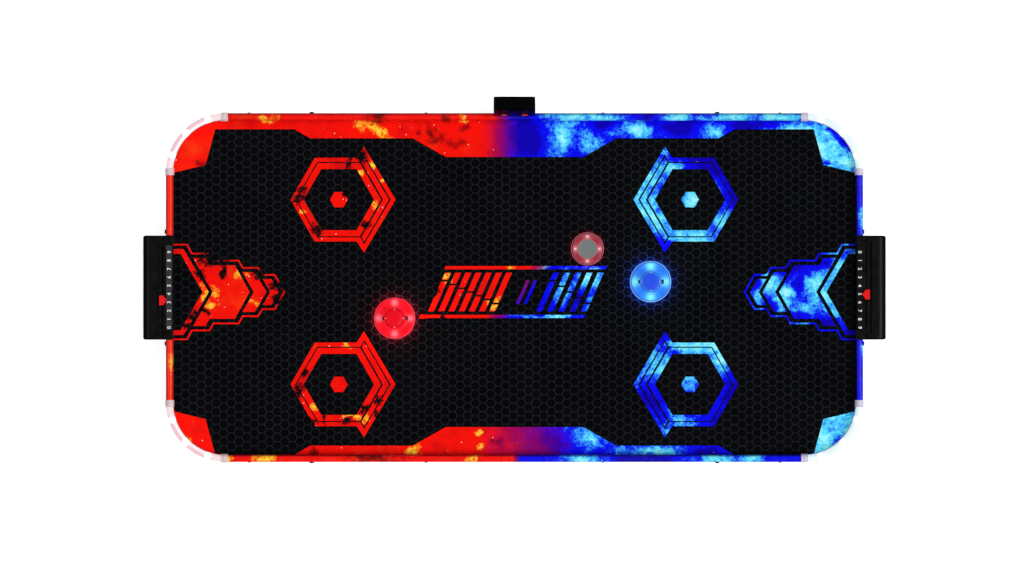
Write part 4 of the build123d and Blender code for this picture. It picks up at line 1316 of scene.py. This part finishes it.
def table_frame():
    aprons = [f"apron_{side}" for side in ("far", "near", "left", "right")]
    dress(laminate(), *aprons)
    soften(0.6, *aprons)
    post = moulded("corner_post_plastic", rgb(17, 17, 19), rgb(28, 28, 31), 1.0, 0.04, 0.42, 0.56)
    dress(post, *(f"corner_post_{corner}" for corner in CORNERS))
    dress(pine(), "support_cleats", "cross_braces")
    dress(fibreboard("playfield_fibreboard", rgb(120, 84, 48), rgb(170, 128, 82)), "playfield_board")
    dress(fibreboard("bottom_hardboard", rgb(72, 44, 24), rgb(116, 76, 44), 1.6), "bottom_panel")
    dress(rubber(), "rubber_feet")
    dress(metal("screw_steel", rgb(120, 122, 126), rgb(176, 178, 182), 0.3), "underside_screws")
    black = moulded("bolt_black", rgb(8, 8, 9), rgb(18, 18, 20), 0.6, 0.02, 0.3, 0.42, 0.3)
    for node, slot in (("apron_bolts", "bolt_black"), ("apron_screws", "screw_steel")):
        shapes = [hex_socket_head(low, high) for low, high in sticks_out(node)]
        piece = add_piece(f"{node}_domed", *joined(shapes), black, "table", slot, 35)
        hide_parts(node)


def fan():
    plastic = moulded("fan_plastic", rgb(16, 16, 18), rgb(30, 30, 33), 0.9, 0.03, 0.36, 0.5)
    dress(plastic, "fan_guard", "fan_housing", "fan_impeller")
    dress(metal("motor_metal", rgb(110, 112, 116), rgb(168, 170, 174), 0.28), "fan_motor")
    soften(0.3, "fan_guard")


# ---------------------------------------------------------------- strikers and puck

# rings are painted highlight lines on the rim and painted shade lines round the knob's foot; the blue one
# also has a painted shade line inside the rim and a painted highlight on the knob's shoulder
STRIKERS = {
    "red": {"body": rgb(255, 14, 34), "spot": rgb(255, 132, 152), "knob": rgb(232, 10, 30),
            "lamp": 9.5, "haze": 0.08, "glow": (1.0, 0.05, 0.08, 1.0),
            "rings": ((35.5, 0.7, 9.0, rgb(255, 78, 92)), (16.7, 0.8, 9.0, rgb(186, 0, 16)))},
    "blue": {"body": rgb(28, 118, 255), "spot": rgb(132, 255, 255), "knob": rgb(40, 82, 228),
             "lamp": 13.0, "haze": 0.25, "glow": (0.04, 0.14, 1.0, 1.0),
             "rings": ((35.3, 0.8, 9.0, rgb(150, 206, 255)), (33.7, 0.9, 9.0, rgb(16, 72, 214)),
                       (17.2, 0.9, 9.0, rgb(14, 62, 204)), (15.6, 0.7, 9.0, rgb(92, 160, 255)))},
}


# Openings through the shoulder, each (lowest, highest corner) in millimetres from the axis at the playfield
STRIKER_SLOTS = (((18.8, -3.7, 4), (23.2, 3.7, 16)), ((-21.5, -3.0, 4), (-18.5, 3.0, 16)))
ROUND_STEPS = 128


def axis_of(node):
    """The upright axis of a round CAD node, at the height of the playfield."""
    at = middle(node)
    return Vector((at.x, at.y, FIELD_Z))


def striker_outline():
    """Outer skin from the undercut foot up over the shoulder, the shallow valley and the domed knob, then
    the inside."""
    outer = [(35.2, 0.8, 0.2), (36.0, 8.0, 2.0), (36.0, 12.6, 3.4), (31.4, 12.6, 3.0), (24.6, 11.0, 6.0),
             (17.6, 12.2, 3.6), (16.1, 35.0, 4.2), (9.0, 36.3, 8.0), (0.0, 36.5)]
    inner = [(0.0, 34.0), (13.6, 33.0, 2.6), (14.2, 11.4, 2.0), (22.0, 8.8, 3.0), (33.6, 10.0, 1.6),
             (33.6, 0.8)]
    return rounded(outer, 9) + rounded(inner, 5)


def striker(colour):
    look = STRIKERS[colour]
    shell = f"{colour}_pusher_shell"
    at = axis_of(shell)
    plastic = f"pusher_{colour}_plastic"
    material = lit_plastic(plastic, at, look, lamps=(27.2, look["lamp"]), strength=0.55,
                           glow=(look["glow"], 34.4, 8.0, 75.0), rings=look["rings"],
                           painted_glints=((15.3, 33.6, 1.5),))
    cap = add_piece(f"{colour}_striker_cap", *turned(striker_outline(), at, ROUND_STEPS), material,
                    f"{colour}_pusher", plastic, 30)
    cut(cap, *((at + Vector(low) * MM, at + Vector(high) * MM) for low, high in STRIKER_SLOTS))
    smooth(cap.data, 30)
    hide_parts(shell)


def strikers():
    base = moulded("pusher_base_plastic", rgb(22, 22, 24), rgb(36, 36, 39), 0.8, 0.02)
    lever = moulded("lever_plastic", rgb(60, 56, 58), rgb(96, 90, 92), 0.8, 0.02)
    fabric = felt()
    boards = {"red": circuit_board("board_lit_red", (96, 8, 18), (140, 14, 28)),
              "blue": circuit_board("board_lit_blue", (6, 20, 86), (10, 36, 130))}
    for colour, board in boards.items():
        striker(colour)
        dress(base, f"{colour}_pusher_base")
        dress(fabric, f"{colour}_pusher_felt")
        dress(board, f"{colour}_pusher_light_board")
        dress(lever, f"{colour}_pusher_switch")


PUCK_LOOK = {"body": rgb(160, 46, 62), "spot": rgb(236, 150, 160), "knob": rgb(150, 60, 72), "haze": 0.3}
# Painted highlight lines on the puck's edges, and a painted shade line in its groove
PUCK_PAINTED_RINGS = ((28.2, 0.5, 3.0, rgb(224, 140, 150)), (27.0, 0.9, 3.0, rgb(58, 6, 14)),
              (25.6, 0.6, 3.0, rgb(206, 108, 120)), (17.1, 0.5, 3.0, rgb(214, 150, 158)))


def puck():
    at = axis_of("puck_shell")
    outer = [(27.9, 0.3, 0.2), (28.5, 4.0, 0.6), (28.5, 5.2, 0.6), (27.6, 5.2, 0.3), (27.3, 4.0, 0.3),
             (26.4, 4.0, 0.3), (25.3, 8.9, 1.0), (17.2, 8.9, 0.5), (16.8, 6.2)]
    inner = [(15.2, 6.2), (15.2, 5.0), (23.4, 5.0, 0.5), (24.8, 3.6, 0.4), (24.8, 0.3)]
    skin = lit_plastic("puck_plastic", at, PUCK_LOOK, lamps=(21.3, 6.5), strength=0.5,
                       glow=((1.0, 0.012, 0.03, 1.0), 27.4, 3.6, 40.0), rings=PUCK_PAINTED_RINGS,
                       painted_glints=((21.3, 8.9, 1.8),))
    profile = rounded(outer, 6) + rounded(inner, 4)
    ring = add_piece("puck_ring", *turned(profile, at, ROUND_STEPS), skin, "puck", "puck_plastic", 30)
    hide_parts("puck_shell")
    top = (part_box("puck_cap")[1].z - FIELD_Z) / MM
    lid = [(0.0, top - 0.15), (0.0, top - 2.2), (16.5, top - 2.2, 0.3), (16.5, top, 0.5), (15.4, top, 0.2),
           (15.0, top - 0.15, 0.2)]
    grey = spun_metal("puck_cap_plastic", at, rgb(104, 110, 110), rgb(132, 138, 138))
    disc = add_piece("puck_lid", *turned(rounded(lid, 5), at, 96), grey, "puck", "puck_cap_plastic", 30)
    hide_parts("puck_cap")
    dress(moulded("puck_base_plastic", rgb(26, 26, 28), rgb(40, 40, 44)), "puck_base")
    dress(circuit_board(), "puck_light_board")


# ---------------------------------------------------------------- studio


FLOOR_HALF = 4.0
# The sky as grey bands, (place from the lowest point, 0, to the highest, 1, and level), and the suns as
# (azimuth in degrees, energy)
SKY_BANDS = ((0.44, 0.02), (0.52, 0.3), (0.56, 0.3), (0.9, 0.03))
SUNS = ((60, 1.9), (120, 0.8), (240, 0.35), (300, 0.5))
SUN_TILT = radians(40)
SUN_SPREAD = radians(36)


def floor():
    """White ground, which mirrors don't show."""
    verts = [(x * FLOOR_HALF, y * FLOOR_HALF, 0) for x, y in ((-1, -1), (1, -1), (1, 1), (-1, 1))]
    mesh = bpy.data.meshes.new("floor")
    mesh.from_pydata(verts, [], [(0, 1, 2, 3)])
    ground = bpy.data.objects.new("floor", mesh)
    bpy.context.scene.collection.objects.link(ground)
    paint = Paint("floor")
    tone = paint.noise(400, 3.0)
    white = paint.mix(tone, rgb(240, 240, 240), rgb(246, 246, 246))
    material = paint.set(base_color=white, emission_color=white, emission_strength=0.85, roughness=0.9,
                         specular_ior_level=0.0)
    mesh.materials.append(material)
    ground.visible_glossy = False


def studio():
    scene = bpy.context.scene
    scene.view_settings.view_transform = "Standard"
    world = bpy.data.worlds.new("studio")
    world.use_nodes = True
    nodes, links = world.node_tree.nodes, world.node_tree.links
    height = nodes.new("ShaderNodeSeparateXYZ")
    links.new(nodes.new("ShaderNodeTexCoord").outputs["Generated"], height.inputs[0])
    band = nodes.new("ShaderNodeValToRGB")
    for place, level in SKY_BANDS:
        stop = band.color_ramp.elements.new(place)
        stop.color = (level, level, level, 1)
    band.color_ramp.elements.remove(band.color_ramp.elements[0])
    band.color_ramp.elements.remove(band.color_ramp.elements[-1])
    links.new(height.outputs[2], band.inputs[0])
    links.new(band.outputs[0], nodes["Background"].inputs["Color"])
    scene.world = world
    for azimuth, energy in SUNS:
        sun = bpy.data.lights.new(f"sun_{azimuth}", "SUN")
        sun.energy = energy
        sun.angle = SUN_SPREAD
        lamp = bpy.data.objects.new(f"sun_{azimuth}", sun)
        lamp.rotation_euler = (SUN_TILT, 0, radians(azimuth))
        scene.collection.objects.link(lamp)


CAMERA_AWAY = 12.0
SENSOR_W = 36
VIEW_W = 1.7896  # what the picture spans at the top of the rails, in metres
VIEW_SHIFT = Vector((-4.35, -0.7, 0)) * MM


def camera():
    """Looks straight down on the table through a long lens, with almost no perspective."""
    rail_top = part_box("rail_far")[1].z
    lens = bpy.data.cameras.new("camera")
    lens.sensor_width = SENSOR_W
    lens.lens = SENSOR_W * CAMERA_AWAY / VIEW_W
    lens.clip_end = 100
    view = bpy.data.objects.new("camera", lens)
    view.location = Vector((TABLE.x, TABLE.y, rail_top + CAMERA_AWAY)) + VIEW_SHIFT
    bpy.context.scene.collection.objects.link(view)
    bpy.context.scene.camera = view


playfield_art()
rails()
goals()
controls()
table_frame()
fan()
strikers()
puck()
floor()
studio()
camera()

bpy.context.view_layer.update()
